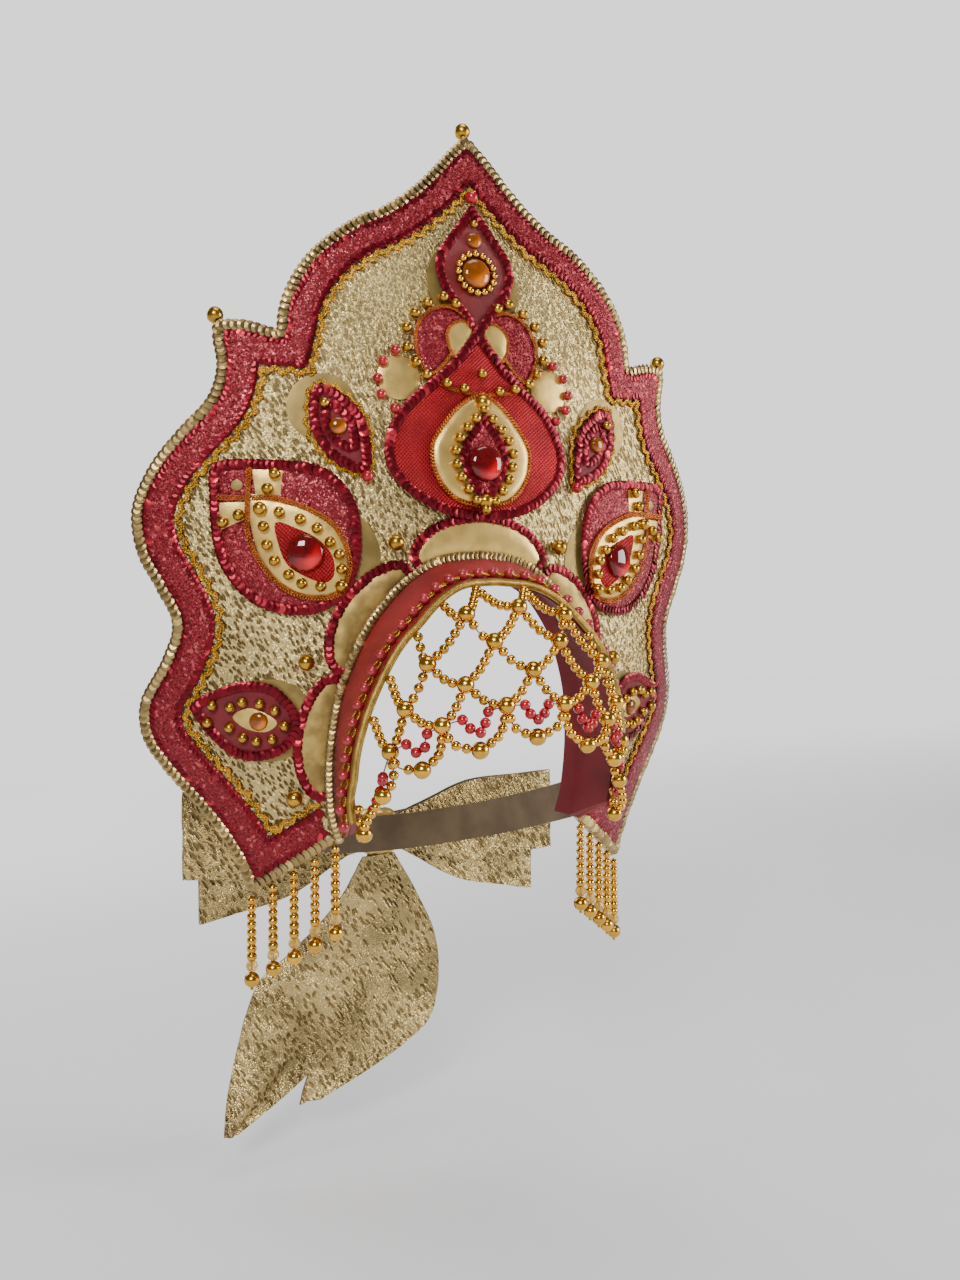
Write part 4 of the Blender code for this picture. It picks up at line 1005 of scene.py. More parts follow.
def placed(tree, name, **values):
    """A shader group in a material, built when it is first used."""
    group = bpy.data.node_groups.get(name) or GROUPS[name]()
    return add(tree, "ShaderNodeGroup", values, node_tree=group).outputs


def base_finish(name, roughness, metallic, **sockets):
    made = bpy.data.materials.new(name)
    made.use_nodes = True
    tree = made.node_tree
    shader = tree.nodes["Principled BSDF"]
    values = {"Roughness": roughness, "Metallic": metallic, **sockets}
    for key, value in values.items():
        shader.inputs[key.replace("_", " ")].default_value = value
    return made, tree, shader.inputs, add(tree, "ShaderNodeTexCoord").outputs["Object"]


def bumped(tree, sockets, height, distance, strength=1.0, normal=None):
    values = {"Height": height, "Distance": distance, "Strength": strength}
    if normal is not None:
        values["Normal"] = normal
    tree.links.new(add(tree, "ShaderNodeBump", values).outputs[0], sockets["Normal"])


def shaded(colour, factor):
    return tuple(min(1.0, c * factor) for c in colour[:3])


def painted(tree, sockets, colour, roughness):
    feed(tree, sockets["Base Color"], colour)
    feed(tree, sockets["Roughness"], roughness)


def finish_embossed(name, gold, wide, long, rough, depth, painted_reflection_dark):
    """Embossed champagne-gold leatherette: bright crinkled foil with small dark strokes, slow patches of painted
    reflection, flakes of painted sparkle, and strokes painted darker towards the bottom as painted shade.
    """
    made, tree, to, spot = base_finish(name, 0.4, 0.9)
    strokes = placed(tree, "strokes", Vector=spot, Wide=wide, Long=long)
    flakes = placed(tree, "flakes", Vector=spot, Scale=1200.0, Share=0.14, Tilt=0.45)
    slow = placed(tree, "patina_and_painted_reflection", Vector=spot, Scale=22.0)
    # Painted reflection: slow patches run from a darker to a brighter copy of the gold
    base = mixed(tree, slow["Mask"], shaded(gold, painted_reflection_dark), shaded(gold, 1.15))
    # Painted sparkle: some flakes are painted a brighter gold
    base = mixed(tree, calc(tree, "MULTIPLY", flakes["Mask"], 0.4), base, shaded(gold, 1.4))
    # Painted shade: the strokes are painted darker towards the bottom of the board, and fainter in the bright patches
    # of painted reflection
    low = ramp(tree, add(tree, "ShaderNodeSeparateXYZ", {0: spot}).outputs[2], 0.17, -0.04)
    deep = calc(tree, "MULTIPLY_ADD", slow["Mask"], -0.2, calc(tree, "MULTIPLY_ADD", low, 0.42, 0.5))
    base = mixed(tree, calc(tree, "MULTIPLY", strokes["Mask"], deep), base, (0.15, 0.095, 0.035))
    rough = calc(tree, "MULTIPLY_ADD", slow["Fine"], 0.26, rough)
    painted(tree, to, base, calc(tree, "MULTIPLY_ADD", strokes["Mask"], 0.25, rough))
    crinkle = calc(tree, "MULTIPLY_ADD", slow["Fine"], 0.8, strokes["Height"])
    bumped(tree, to, crinkle, depth, 1.0, flakes["Normal"])
    return made


def finish_smooth(name, gold, roughness, mottle):
    """Smooth leatherette with a fine grain; mottle is how much darker its rubbed spots are."""
    made, tree, to, spot = base_finish(name, roughness, 0.7)
    slow = placed(tree, "patina_and_painted_reflection", Vector=spot, Scale=90.0)
    grain = add(tree, "ShaderNodeTexVoronoi", {"Vector": spot, "Scale": 1500.0}).outputs["Distance"]
    base = mixed(tree, slow["Mask"], shaded(gold, 1 - mottle), shaded(gold, 1.1))
    base = mixed(tree, calc(tree, "MULTIPLY", slow["Fine"], mottle), base, shaded(gold, 0.45))
    painted(tree, to, base, calc(tree, "MULTIPLY_ADD", slow["Fine"], 0.24, roughness - 0.12))
    bumped(tree, to, grain, 0.00012, 0.5)
    return made


def finish_sequins(name, dark, light, metallic, roughness, painted_flash_share, bright):
    """Sequins that each have their own shade; a few are painted bright as flashes of light."""
    made, tree, to, spot = base_finish(name, roughness, metallic, Coat_Weight=0.1, Coat_Roughness=0.25)
    shade = carried(tree, "shade")
    slow = placed(tree, "patina_and_painted_reflection", Vector=spot, Scale=60.0)
    base = mixed(tree, shade, dark, light)
    # Painted highlight: a few sequins are painted bright, as flashes of light
    base = mixed(tree, calc(tree, "GREATER_THAN", shade, 1.0 - painted_flash_share), base, bright)
    base = mixed(tree, calc(tree, "MULTIPLY", slow["Mask"], 0.3), base, dark)
    painted(tree, to, base, calc(tree, "MULTIPLY_ADD", slow["Fine"], 0.2, roughness - 0.08))
    bumped(tree, to, slow["Fine"], 0.0001, 0.3)
    return made


def finish_glitter(colours):
    """Crimson glitter fabric: flakes that face every way, with painted pink sparkle on a few of them."""
    red = colours.glitter
    made, tree, to, spot = base_finish("glitter", 0.4, 0.5)
    flakes = placed(tree, "flakes", Vector=spot, Scale=1500.0, Share=0.14, Tilt=0.6)
    coarse = placed(tree, "flakes", Vector=spot, Scale=560.0, Share=0.07, Tilt=0.5)
    base = mixed(tree, flakes["Shade"], shaded(red, 0.5), shaded(red, 1.4))
    # Painted sparkle: a few flakes, fine and coarse, are painted bright pink-red
    base = mixed(tree, calc(tree, "MULTIPLY", flakes["Mask"], 0.3), base, (0.70, 0.10, 0.14))
    base = mixed(tree, calc(tree, "MULTIPLY", coarse["Mask"], 0.4), base, (0.85, 0.16, 0.17))
    painted(tree, to, base, calc(tree, "MULTIPLY_ADD", flakes["Shade"], 0.3, 0.22))
    bumped(tree, to, flakes["Shade"], 0.0002, 0.5, flakes["Normal"])
    return made


def finish_cloth(name, colour, pitch, roughness, sheen, metallic=0.0, depth=0.00015, contrast=0.4):
    """Woven cloth: threads, slow colour changes and sheen."""
    made, tree, to, spot = base_finish(name, roughness, metallic, Sheen_Weight=sheen, Sheen_Roughness=0.35)
    threads = placed(tree, "weave", Vector=spot, Pitch=pitch)
    slow = placed(tree, "patina_and_painted_reflection", Vector=spot, Scale=40.0)
    base = mixed(tree, slow["Mask"], shaded(colour, 0.78), shaded(colour, 1.15))
    gaps = calc(tree, "MULTIPLY_ADD", threads["Mask"], -contrast, contrast)
    base = mixed(tree, gaps, base, shaded(colour, 0.45 - 0.3 * contrast))
    painted(tree, to, base, calc(tree, "MULTIPLY_ADD", threads["Mask"], -0.18, roughness + 0.1))
    bumped(tree, to, threads["Height"], depth, 0.6)
    return made


def finish_yarn(name, colour, pitch, turns, metallic, roughness):
    """Metallised yarn: wound fibres with dark gaps between them."""
    made, tree, to, spot = base_finish(name, roughness, metallic)
    fibres = placed(tree, "yarn", Pitch=pitch, Turns=turns)
    slow = placed(tree, "patina_and_painted_reflection", Vector=spot, Scale=120.0)
    base = mixed(tree, fibres["Mask"], shaded(colour, 0.25), shaded(colour, 1.0))
    base = mixed(tree, calc(tree, "MULTIPLY", slow["Mask"], 0.5), base, shaded(colour, 1.35))
    painted(tree, to, base, calc(tree, "MULTIPLY_ADD", slow["Fine"], 0.3, roughness - 0.12))
    bumped(tree, to, fibres["Height"], 0.00025, 0.7)
    return made


def finish_beads(name, colour, metallic, roughness, coat=0.0):
    """Moulded beads: each with its own shade, and faint moulding and rubbing marks."""
    made, tree, to, spot = base_finish(name, roughness, metallic, Coat_Weight=coat, Coat_Roughness=0.06)
    shade = carried(tree, "shade")
    slow = placed(tree, "patina_and_painted_reflection", Vector=spot, Scale=260.0)
    base = mixed(tree, shade, shaded(colour, 0.8), shaded(colour, 1.12))
    base = mixed(tree, calc(tree, "MULTIPLY", slow["Mask"], 0.25), base, shaded(colour, 0.6))
    painted(tree, to, base, calc(tree, "MULTIPLY_ADD", slow["Mask"], 0.12, roughness))
    bumped(tree, to, slow["Fine"], 0.00008, 0.25)
    return made


def finish_clear_beads(_):
    """Clear faceted plastic with a faint yellow cast."""
    made, tree, to, spot = base_finish("clear_beads", 0.04, 0.0, Transmission_Weight=0.65, IOR=1.5)
    slow = placed(tree, "patina_and_painted_reflection", Vector=spot, Scale=200.0)
    tree.links.new(mixed(tree, slow["Mask"], (0.85, 0.50, 0.09), (0.95, 0.68, 0.20)), to["Base Color"])
    tree.links.new(calc(tree, "MULTIPLY_ADD", slow["Fine"], 0.06, 0.02), to["Roughness"])
    return made


def finish_stone(name, deep, painted_glow_colour):
    """A domed stone over foil: painted shade, a dark copy of its colour, and a painted glow in colour and emission
    toward one lower side, where the foil would throw the light back.
    """
    made, tree, to, spot = base_finish(name, 0.05, 0.0, Coat_Weight=0.2, Coat_Roughness=0.02, IOR=1.48)
    glow = carried(tree, "glow")
    cloud = placed(tree, "patina_and_painted_reflection", Vector=spot, Scale=180.0)
    flakes = placed(tree, "flakes", Vector=spot, Scale=520.0, Share=0.12, Tilt=0.25)
    # Painted glow: the clouded glow mixes the stone from its painted shade to its painted glow colour, and flakes add
    # small painted glints
    lit = calc(tree, "MULTIPLY", ramp(tree, glow, 0.05, 1.0), calc(tree, "MULTIPLY_ADD", cloud["Mask"], 0.4, 0.6))
    base = mixed(tree, lit, deep, painted_glow_colour)
    base = mixed(tree, calc(tree, "MULTIPLY", flakes["Shade"], 0.12), base, painted_glow_colour)
    painted(tree, to, base, calc(tree, "MULTIPLY_ADD", cloud["Fine"], 0.06, 0.02))
    # Painted glow: the glowing part also emits light, though the stone is no lamp
    tree.links.new(mixed(tree, lit, (0.0, 0.0, 0.0), shaded(painted_glow_colour, 0.5)), to["Emission Color"])
    to["Emission Strength"].default_value = 0.4
    return made


def finish_floor(_):
    """Plain pale matt floor that grows as bright as the studio far behind the headdress."""
    made, tree, to, spot = base_finish("floor", 0.9, 0.0, Emission_Strength=1.25)
    slow = placed(tree, "patina_and_painted_reflection", Vector=spot, Scale=1.5)
    tree.links.new(mixed(tree, slow["Mask"], (0.66, 0.65, 0.65), (0.70, 0.69, 0.69)), to["Base Color"])
    behind = add(tree, "ShaderNodeSeparateXYZ", {0: spot}).outputs[1]
    glow = mixed(tree, ramp(tree, behind, -0.3, 3.2), (0.12, 0.12, 0.12), (1.0, 0.995, 0.99))
    tree.links.new(glow, to["Emission Color"])
    return made


FINISHES = {
    # The last number of each is the dark end of its painted reflection patches; the ribbon's are strong, and its gold
    # is a slightly darker copy of the field's, as painted shade
    "leatherette": lambda c: finish_embossed("leatherette", c.leatherette, 0.0020, 0.0055, 0.18, 0.0010, 0.9),
    "ribbon_leatherette": lambda c: finish_embossed(
        "ribbon_leatherette", shaded(c.leatherette, 0.95), 0.0028, 0.0088, 0.02, 0.0012, 0.5),
    "smooth_leatherette": lambda c: finish_smooth("smooth_leatherette", c.smooth_leatherette, 0.34, 0.2),
    # The smooth leatherette in painted shade, 0.37 as bright, for the raised discs and the glue spot
    "painted_shade_smooth_leatherette": lambda c: finish_smooth(
        "painted_shade_smooth_leatherette", shaded(c.smooth_leatherette, 0.37), 0.42, 0.25),
    "petal_suede": lambda c: finish_smooth("petal_suede", shaded(c.smooth_leatherette, 0.7), 0.5, 0.5),
    # The last colour of each is painted on a few sequins as painted flashes of light
    "gold_sequins": lambda c: finish_sequins(
        "gold_sequins", shaded(c.sequin_gold, 0.6), shaded(c.sequin_gold, 1.05), 1.0, 0.34, 0.05,
        shaded(c.sequin_gold, 1.7)),
    "wine_sequins": lambda c: finish_sequins(
        "wine_sequins", shaded(c.sequin_wine, 0.6), shaded(c.sequin_wine, 1.15), 0.85, 0.33, 0.03,
        (0.62, 0.04, 0.06)),
    "glitter": finish_glitter,
    "satin": lambda c: finish_cloth("satin", c.satin, 0.0005, 0.42, 0.04),
    # The top leaf's satin in painted shade: the satin at 0.6 as bright, as the board faces the key light
    "painted_shade_satin": lambda c: finish_cloth("painted_shade_satin", shaded(c.satin, 0.6), 0.0005, 0.42, 0.04),
    "lining": lambda c: finish_cloth("lining", c.lining, 0.0007, 0.6, 0.0),
    "mesh": lambda c: finish_cloth("ribbed_mesh", c.mesh, 0.0025, 0.40, 0.0, 0.55, 0.0010, 0.7),
    "backing_cloth": lambda c: finish_cloth("backing_cloth", (0.20, 0.14, 0.075), 0.0006, 0.85, 0.1),
    "braid": lambda c: finish_yarn("braid_yarn", c.braid, 0.0011, 1.0, 0.9, 0.30),
    "fine_braid": lambda c: finish_yarn("fine_braid_yarn", (0.62, 0.17, 0.03), 0.0011, 1.0, 0.8, 0.32),
    "cord": lambda c: finish_yarn("cord_yarn", (0.66, 0.42, 0.09), 0.0007, 1.0, 0.9, 0.30),
    "thread": lambda c: finish_yarn("thread", (0.30, 0.20, 0.08), 0.0006, 1.0, 0.0, 0.6),
    "gold_beads": lambda c: finish_beads("gold_beads", c.bead_gold, 1.0, 0.11),
    "antique_beads": lambda c: finish_beads("antique_beads", shaded(c.bead_gold, 0.72), 1.0, 0.2),
    "red_pearls": lambda c: finish_beads("red_pearls", (0.40, 0.006, 0.014), 0.3, 0.22, 0.5),
    "pink_pearls": lambda c: finish_beads("pink_pearls", (0.38, 0.022, 0.032), 0.3, 0.28, 0.4),
    "clear_beads": finish_clear_beads,
    # Each stone's first colour is a darker copy used as painted shade, and its second a brighter copy used as painted
    # glow
    "ruby": lambda c: finish_stone("ruby", shaded(c.ruby, 0.16), shaded(c.ruby, 1.5)),
    "amber": lambda c: finish_stone("amber", shaded(c.amber, 0.3), shaded(c.amber, 1.2)),
    "floor": finish_floor,
}
MADE = {}


def finish_of(name):
    if name not in MADE:
        MADE[name] = FINISHES[name](bpy.context.scene.headdress_colours)
    return MADE[name]


# ---------------------------------------------------------------- what a user may change

def colour_property(name, description, value):
    return FloatVectorProperty(name=name, description=description, default=value, size=3, min=0.0, max=1.0,
                               subtype="COLOR")


def size_property(name, description, value, low, high):
    return FloatProperty(name=name, description=description, default=value, min=low, max=high, unit="LENGTH")


class HeaddressSizes(bpy.types.PropertyGroup):
    """Sizes of the small parts that dress the frame."""
    edge_sequin: size_property("Edge sequin", "Width of a gold sequin on the board's edge", 0.0074, 0.003, 0.012)
    edge_pitch: size_property("Edge pitch", "Step from one gold sequin to the next", 0.0040, 0.002, 0.012)
    wine_sequin: size_property("Wine sequin", "Width of a wine-red sequin", 0.0064, 0.003, 0.012)
    wine_pitch: size_property("Wine pitch", "Step from one wine-red sequin to the next", 0.0034, 0.0015, 0.012)
    ring_bead: size_property("Ring bead", "Width of the beads round the appliques", 0.0068, 0.003, 0.010)
    net_bead: size_property("Small net bead", "Width of the small beads of the net", 0.0058, 0.003, 0.008)
    pearl: size_property("Pearl", "Width of the red pearls", 0.0064, 0.003, 0.010)
    braid_period: size_property("Braid wave", "Length of one wave of the braid", 0.0090, 0.004, 0.03)


class HeaddressColours(bpy.types.PropertyGroup):
    """Main colours of the headdress's materials."""
    leatherette: colour_property("Leatherette", "Embossed leatherette of the field", (0.565, 0.42, 0.172))
    smooth_leatherette: colour_property("Smooth leatherette", "Smooth gold patches", (0.80, 0.54, 0.15))
    sequin_gold: colour_property("Gold sequins", "Sequins of the edge", (0.47, 0.32, 0.125))
    sequin_wine: colour_property("Wine sequins", "Sequins round the appliques", (0.20, 0.005, 0.014))
    glitter: colour_property("Glitter", "Red glitter fabric", (0.19, 0.004, 0.010))
    satin: colour_property("Satin", "Satin of the brow band and the top leaf", (0.30, 0.004, 0.008))
    lining: colour_property("Lining", "Lining inside the band and behind the board", (0.19, 0.006, 0.012))
    mesh: colour_property("Mesh", "Ribbed red mesh round the middle drop", (0.50, 0.012, 0.019))
    braid: colour_property("Braid", "Orange-gold braid", (0.72, 0.37, 0.035))
    bead_gold: colour_property("Gold beads", "Beads of the net, rings and pendants", (0.78, 0.43, 0.055))
    ruby: colour_property("Ruby", "Red stones", (0.40, 0.002, 0.006))
    amber: colour_property("Amber", "Orange stones", (0.50, 0.12, 0.001))


# ---------------------------------------------------------------- operators

class HEADDRESS_OT_stage(bpy.types.Operator):
    """Set the pale floor, the soft studio light and the camera"""
    bl_idname = "headdress.stage"
    bl_label = "Stage"

    def execute(self, context):
        scene = context.scene
        mesh = bpy.data.meshes.new("floor")
        low = CAD_BOX[0][2] - 0.03
        mesh.from_pydata([(-7, -7, low), (7, -7, low), (7, 7, low), (-7, 7, low)], [], [(0, 1, 2, 3)])
        mesh.materials.append(finish_of("floor"))
        floor = bpy.data.objects.new("floor", mesh)
        scene.collection.objects.link(floor)
        world = bpy.data.worlds.new("studio")
        world.use_nodes = True
        back = world.node_tree.nodes["Background"]
        rays = add(world.node_tree, "ShaderNodeLightPath").outputs
        shades = mixed(world.node_tree, rays["Is Glossy Ray"], (0.31, 0.31, 0.32), (0.17, 0.17, 0.175))
        shades = mixed(world.node_tree, rays["Is Camera Ray"], shades, (1.5, 1.49, 1.48))
        world.node_tree.links.new(shades, back.inputs["Color"])
        scene.world = world
        for name, place, size, power in (
            ("key", (-1.1, -1.6, 0.9), 0.6, 38.0), ("side", (1.7, -0.8, 0.35), 0.9, 30.0),
            ("top", (0.1, -0.2, 1.8), 1.0, 14.0), ("back", (-0.6, 1.7, 0.8), 1.2, 14.0),
        ):
            lamp = bpy.data.lights.new(name, "AREA")
            lamp.size, lamp.energy = size, power
            made = bpy.data.objects.new(name, lamp)
            made.location = place
            aim = Vector((0.0, 0.03, 0.0)) - Vector(place)
            made.rotation_euler = aim.to_track_quat("-Z", "Y").to_euler()
            scene.collection.objects.link(made)
        lens = bpy.data.cameras.new("camera")
        lens.sensor_fit, lens.sensor_height, lens.lens = "VERTICAL", 36.0, 33.75
        lens.clip_start = 0.05
        camera = bpy.data.objects.new("camera", lens)
        yaw, pitch, roll = (math.radians(a) for a in (26.01, 0.54, 0.23))
        ahead = Vector((math.sin(yaw) * math.cos(pitch), math.cos(yaw) * math.cos(pitch), -math.sin(pitch)))
        right = Vector((math.cos(yaw), -math.sin(yaw), 0.0))
        over = right.cross(ahead)
        right, over = (right * math.cos(roll) - over * math.sin(roll),
                       over * math.cos(roll) + right * math.sin(roll))
        turn = Matrix((right, over, -ahead)).transposed()
        camera.matrix_world = Matrix.Translation((-0.3187, -0.6517, -0.0375)) @ turn.to_4x4()
        scene.collection.objects.link(camera)
        scene.camera = camera
        return {"FINISHED"}


class HEADDRESS_OT_board(bpy.types.Operator):
    """Make the bent board: embossed leatherette in front, lining behind"""
    bl_idname = "headdress.board"
    bl_label = "Board"

    def execute(self, context):
        edge = inset_edge(mirrored(edge_half()), 0.0005)
        loop = edge + arch_line(0.0045)[::-1]
        patch("board_leatherette", loop, -BOARD_WALL, 0.0, "leatherette", "gold_leatherette", "crest_board",
              grid=0.0042, lip=0.25)
        back = strip_line(EDGE_WIDE) + arch_moved(arch_line(0.0045), 0.012)[::-1]
        patch("board_lining", back, -BOARD_WALL - 0.0007, -BOARD_WALL + 0.0004, "lining", "dark_red_lining",
              grid=0.008, lip=0.0)
        seam = laid(strip_line(EDGE_WIDE + 0.002), -BOARD_WALL - 0.0008)
        grown("board_back_seam", routes([[(p, -n) for p, n in seam]]), plait_tree(2, rope=True), "thread",
              "dark_red_lining", Reach=0.0003, Lift=0.0003, Period=0.004, Thick=0.0006, Sides=5)
        return {"FINISHED"}


class HEADDRESS_OT_border(bpy.types.Operator):
    """Trim the board's edge: gold sequins, red glitter between wine-red sequins, wavy braid, tip beads"""
    bl_idname = "headdress.border"
    bl_label = "Border"

    def execute(self, context):
        sizes = context.scene.headdress_sizes
        inner = EDGE_WIDE + BORDER_WIDE
        sequins("edge_chain", [laid(strip_line(EDGE_WIDE / 2), LIFT + 0.0009)], "gold_sequins", "gold_sequins",
                "edge_sequins", width=sizes.edge_sequin, pitch=sizes.edge_pitch, Tilt=0.36, Wobble=0.10, Seed=3)
        near, far = strip_line(EDGE_WIDE - 0.001), strip_line(inner)
        patch("border_glitter", near + far[::-1], LIFT, LIFT + BORDER_RISE - 0.0007, "glitter",
              "red_glitter_fabric", "border_band", grid=0.0036, dome=0.0006, reach=0.006)
        rows = [laid(strip_line(depth), LIFT + 0.0013) for depth in (EDGE_WIDE + 0.0018, inner - 0.0026)]
        sequins("border_sequins", rows, "wine_sequins", "red_glitter_fabric", Rise=0.0004, width=sizes.wine_sequin,
                pitch=sizes.wine_pitch - 0.0002, Tilt=0.19, Wobble=0.10, Seed=5)
        line = laid(strip_line(TRIM - BRAID_WIDE / 2 + 0.0002), LIFT + 0.0008)
        braided("wavy_braid", routes([line]), 3, "border_braid", Reach=0.0013, Lift=0.0004, Period=0.0048, Thick=0.0012,
                Wave=0.0013, Wavelength=sizes.braid_period)
        beads = []
        for row, out, seat in ((DOME[0], (0.0, 1.0), 0.46), (SHOULDER[-1], (-0.3, 0.95), 0.45)):
            place = crest_place(row) + Vector(out) * seat * TIP_BEAD
            for side in ((1, -1) if place.x else (1,)):
                beads.append((on_board(side * place.x, place.y, -BOARD_WALL / 2), Vector((0, 0, 1)), 1.0))
        beads_at("tip_beads", beads, "ball", "antique_beads", "gold_plastic_beads",
                 "tip_bead_top", "tip_bead_right", "tip_bead_left", width=TIP_BEAD + 0.0014)
        return {"FINISHED"}


class HEADDRESS_OT_backing(bpy.types.Operator):
    """Lay the smooth gold discs and the petals round the arch, and set the pin beads"""
    bl_idname = "headdress.backing"
    bl_label = "Discs and petals"

    def execute(self, context):
        sizes = context.scene.headdress_sizes
        thin = LIFT + 0.0001
        # The discs are the smooth gold leatherette painted darker, as painted shade
        patch("disc_middle", disc((0, 0.171), 0.0305), 0.0, thin, "painted_shade_smooth_leatherette",
              "smooth_gold_leatherette", grid=0.006)
        for name, centre, radius in (("disc_small", (0.0946, 0.091), 0.020), ("disc_big", (0.093, 0.004), 0.031),
                                     ("disc_low", (0.122, -0.091), 0.0245)):
            both(name, disc(centre, radius), 0.0, thin, "painted_shade_smooth_leatherette", "smooth_gold_leatherette", grid=0.006)
        rows = []
        for name, middle, half, rise in PETALS:
            for side in ((1,) if middle == 0 else (1, -1)):
                low, high = petal_loop(middle, half, rise, side)
                label = name if middle == 0 else f"{name}_{'right' if side > 0 else 'left'}"
                patch(label + "_patch", low + high[::-1], LIFT, LIFT + PATCH - 0.0003,
                      "petal_suede" if middle else "smooth_leatherette", "smooth_gold_leatherette", label,
                      grid=0.0035, dome=0.0012, reach=0.010)
                rows.append(laid(evenly([low[0], *high, low[-1]], FINE), LIFT + PATCH + 0.0002))
        sequins("petal_sequins", rows, "wine_sequins", "red_satin", Rise=0.0004, width=sizes.wine_sequin,
                pitch=sizes.wine_pitch, Tilt=0.24, Wobble=0.15, Seed=8)
        pins = [pinned(side * x, z, 0.0048) for x, z in ((0.054, 0.013), (0.1025, -0.0565), (0.1066, -0.1364)) for side in (1, -1)]
        beads_at("pin_beads", pins, "ball", "antique_beads", "gold_plastic_beads", width=0.0098)
        return {"FINISHED"}


class HEADDRESS_OT_motif(bpy.types.Operator):
    """Build the middle applique: top leaf, lobes, discs, onion, drop and lozenge, with their stones"""
    bl_idname = "headdress.motif"
    bl_label = "Middle motif"

    def execute(self, context):
        sizes = context.scene.headdress_sizes
        second = LIFT + 2 * APPLIQUE
        third = second + LIFT + PATCH
        loops = {}
        for name, rows in (("almond", ALMOND), ("onion", ONION), ("teardrop", TEARDROP), ("lozenge", LOZENGE)):
            loops[name] = mirrored(curve_through([motif_place(row) for row in rows], step=0.002))[:-1]
        # The top leaf is laid in the satin's painted shade copy
        patch("almond_satin", loops["almond"], LIFT, FIRST - 0.0004, "painted_shade_satin", "red_satin", "top_almond",
              grid=0.003, dome=0.0004)
        patch("onion_mesh", loops["onion"], LIFT, FIRST - 0.0004, "mesh", "red_mesh_fabric", "onion_panel",
              grid=0.003, dome=0.0004)
        drop = patch("teardrop_pad", loops["teardrop"], FIRST + 0.0001, second, "smooth_leatherette",
                     "smooth_gold_leatherette", "teardrop", grid=0.0024, dome=0.0006, reach=0.007, lip=0.7, soft=0.003)
        patch("lozenge_glitter", loops["lozenge"], second, third + LIFT, "glitter", "red_glitter_fabric", "lozenge",
              grid=0.0024)
        lobe = outline(LOBE, motif_place)
        both("lobe_glitter", lobe, LIFT, FIRST - 0.0004, "glitter", "red_glitter_fabric", "lobe", grid=0.003, dome=0.0004)
        window = outline(WINDOW, motif_place)
        both("lobe_window", window, FIRST - 0.0004, FIRST + 0.0006, "smooth_leatherette", "smooth_gold_leatherette",
             grid=0.003, dome=0.0004)
        x, z = motif_place(DISC)
        both("side_disc_patch", disc((x, z), DISC[2], 0.002), LIFT, LIFT + PATCH - 0.0003, "smooth_leatherette",
             "smooth_gold_leatherette", "side_disc", grid=0.003, dome=0.0006)
        self.edges(loops, lobe, sizes)
        self.stones(third)
        self.beads(loops, sizes)
        return {"FINISHED"}

    def edges(self, loops, lobe, sizes):
        """Wine-red sequins round the shapes and along the crossing lines between them."""
        rows, thin = [], []
        for side in (1, -1):
            line = curve_through([motif_place((side * x, z)) for x, z in CROSSED])
            rows.append(laid(line, FIRST + 0.0003 + 0.0005 * (side > 0)))
            for loop in (lobe, outline(WINDOW, motif_place)):
                thin.append(laid(flipped(loop + loop[:1], side), FIRST + 0.0004))
            thin.append(laid(curve_through([motif_place((side * x, z)) for x, z in NECK]), FIRST + 0.0006))
        rows += [laid(loops["lozenge"] + loops["lozenge"][:1], SECOND + 0.0028)]
        sequins("motif_sequins", rows, "wine_sequins", "red_satin", Rise=0.0004, width=sizes.wine_sequin,
                pitch=sizes.wine_pitch, Tilt=0.22, Wobble=0.15, Seed=11)
        braided("thin_braid", routes(thin), 3, finish="fine_braid", Reach=0.0009, Lift=0.0002, Period=0.0034,
                Thick=0.0006, Sides=5)
        rim = laid(loops["teardrop"], FIRST + 0.0016)
        braided("drop_rim", routes([rim], closed=True), 2, rope=True, finish="fine_braid", Reach=0.0009, Lift=0.0008,
                Period=0.0042, Thick=0.0014)

    def stones(self, third):
        for name, height, base, width, rise, finish, nodes in (
            ("ruby_stone", RUBY_UP, third + LIFT, RUBY, RUBY_RISE, "ruby", ["ruby_centre"]),
            ("amber_stone", AMBER_UP, FIRST, AMBER, AMBER_RISE + 0.0006, "amber", ["amber_centre"]),
            ("amber_small", SMALL_AMBER_UP, FIRST, SMALL_AMBER, SMALL_RISE, "amber", []),
        ):
            stone = turned_mesh(name, 0, up(height), base, cabochon(width, rise), finish)
            piece(name, stone, finish + "_stone", *nodes)

    def beads(self, loops, sizes):
        ring = disc((0, up(AMBER_UP)), AMBER_RING / 2 - 0.0017, 0.002)
        grown("amber_ring", routes([laid(ring, FIRST + 0.0018)], closed=True), row_tree("bead", "COUNT"),
              "gold_beads", "gold_plastic_beads", Count=16, Width=0.0047, Tilt=0.0, Wobble=0.4, Seed=2)
        spots = []
        for side in (1, -1):
            for row in LOBE_BEADS:
                x, z = motif_place(row)
                spots.append(pinned(side * x, z, 0.0034))
            for x, z in ((0.0224, 0.108), (0.0116, 0.1057)):
                spots.append(pinned(side * x, z, FIRST + 0.0030, 0.95))
        spots.append(pinned(0, 0.1153, FIRST + 0.0035, 0.95))
        for z, size in ((0.208, 0.75), (0.0977, 1.5), (0.0389, 1.5)):
            spots.append(pinned(0, z, FIRST + 0.0024 * size, size))
        beads_at("motif_beads", spots, "bead", "antique_beads", "gold_plastic_beads", width=sizes.ring_bead, Seed=4)
        outer = [p + (p - Vector((0, 0.0612))).normalized() * 0.0062 for p in loops["lozenge"]]
        grown("drop_ring", routes([laid(outer, SECOND + 0.0024)], closed=True), row_tree("bead"),
              "antique_beads", "gold_plastic_beads", Pitch=0.0086, Width=sizes.ring_bead, Tilt=0.0, Wobble=0.4, Seed=6)
        pearls = [pinned(0, 0.225, 0.0040, 1.3)]
        for side in (1, -1):
            for row in DISC_PEARLS:
                x, z = motif_place(row)
                pearls.append(pinned(side * x, z, 0.0034))
        beads_at("motif_pearls", pearls, "bead", "red_pearls", "ruby_stone", width=sizes.pearl, Seed=7)


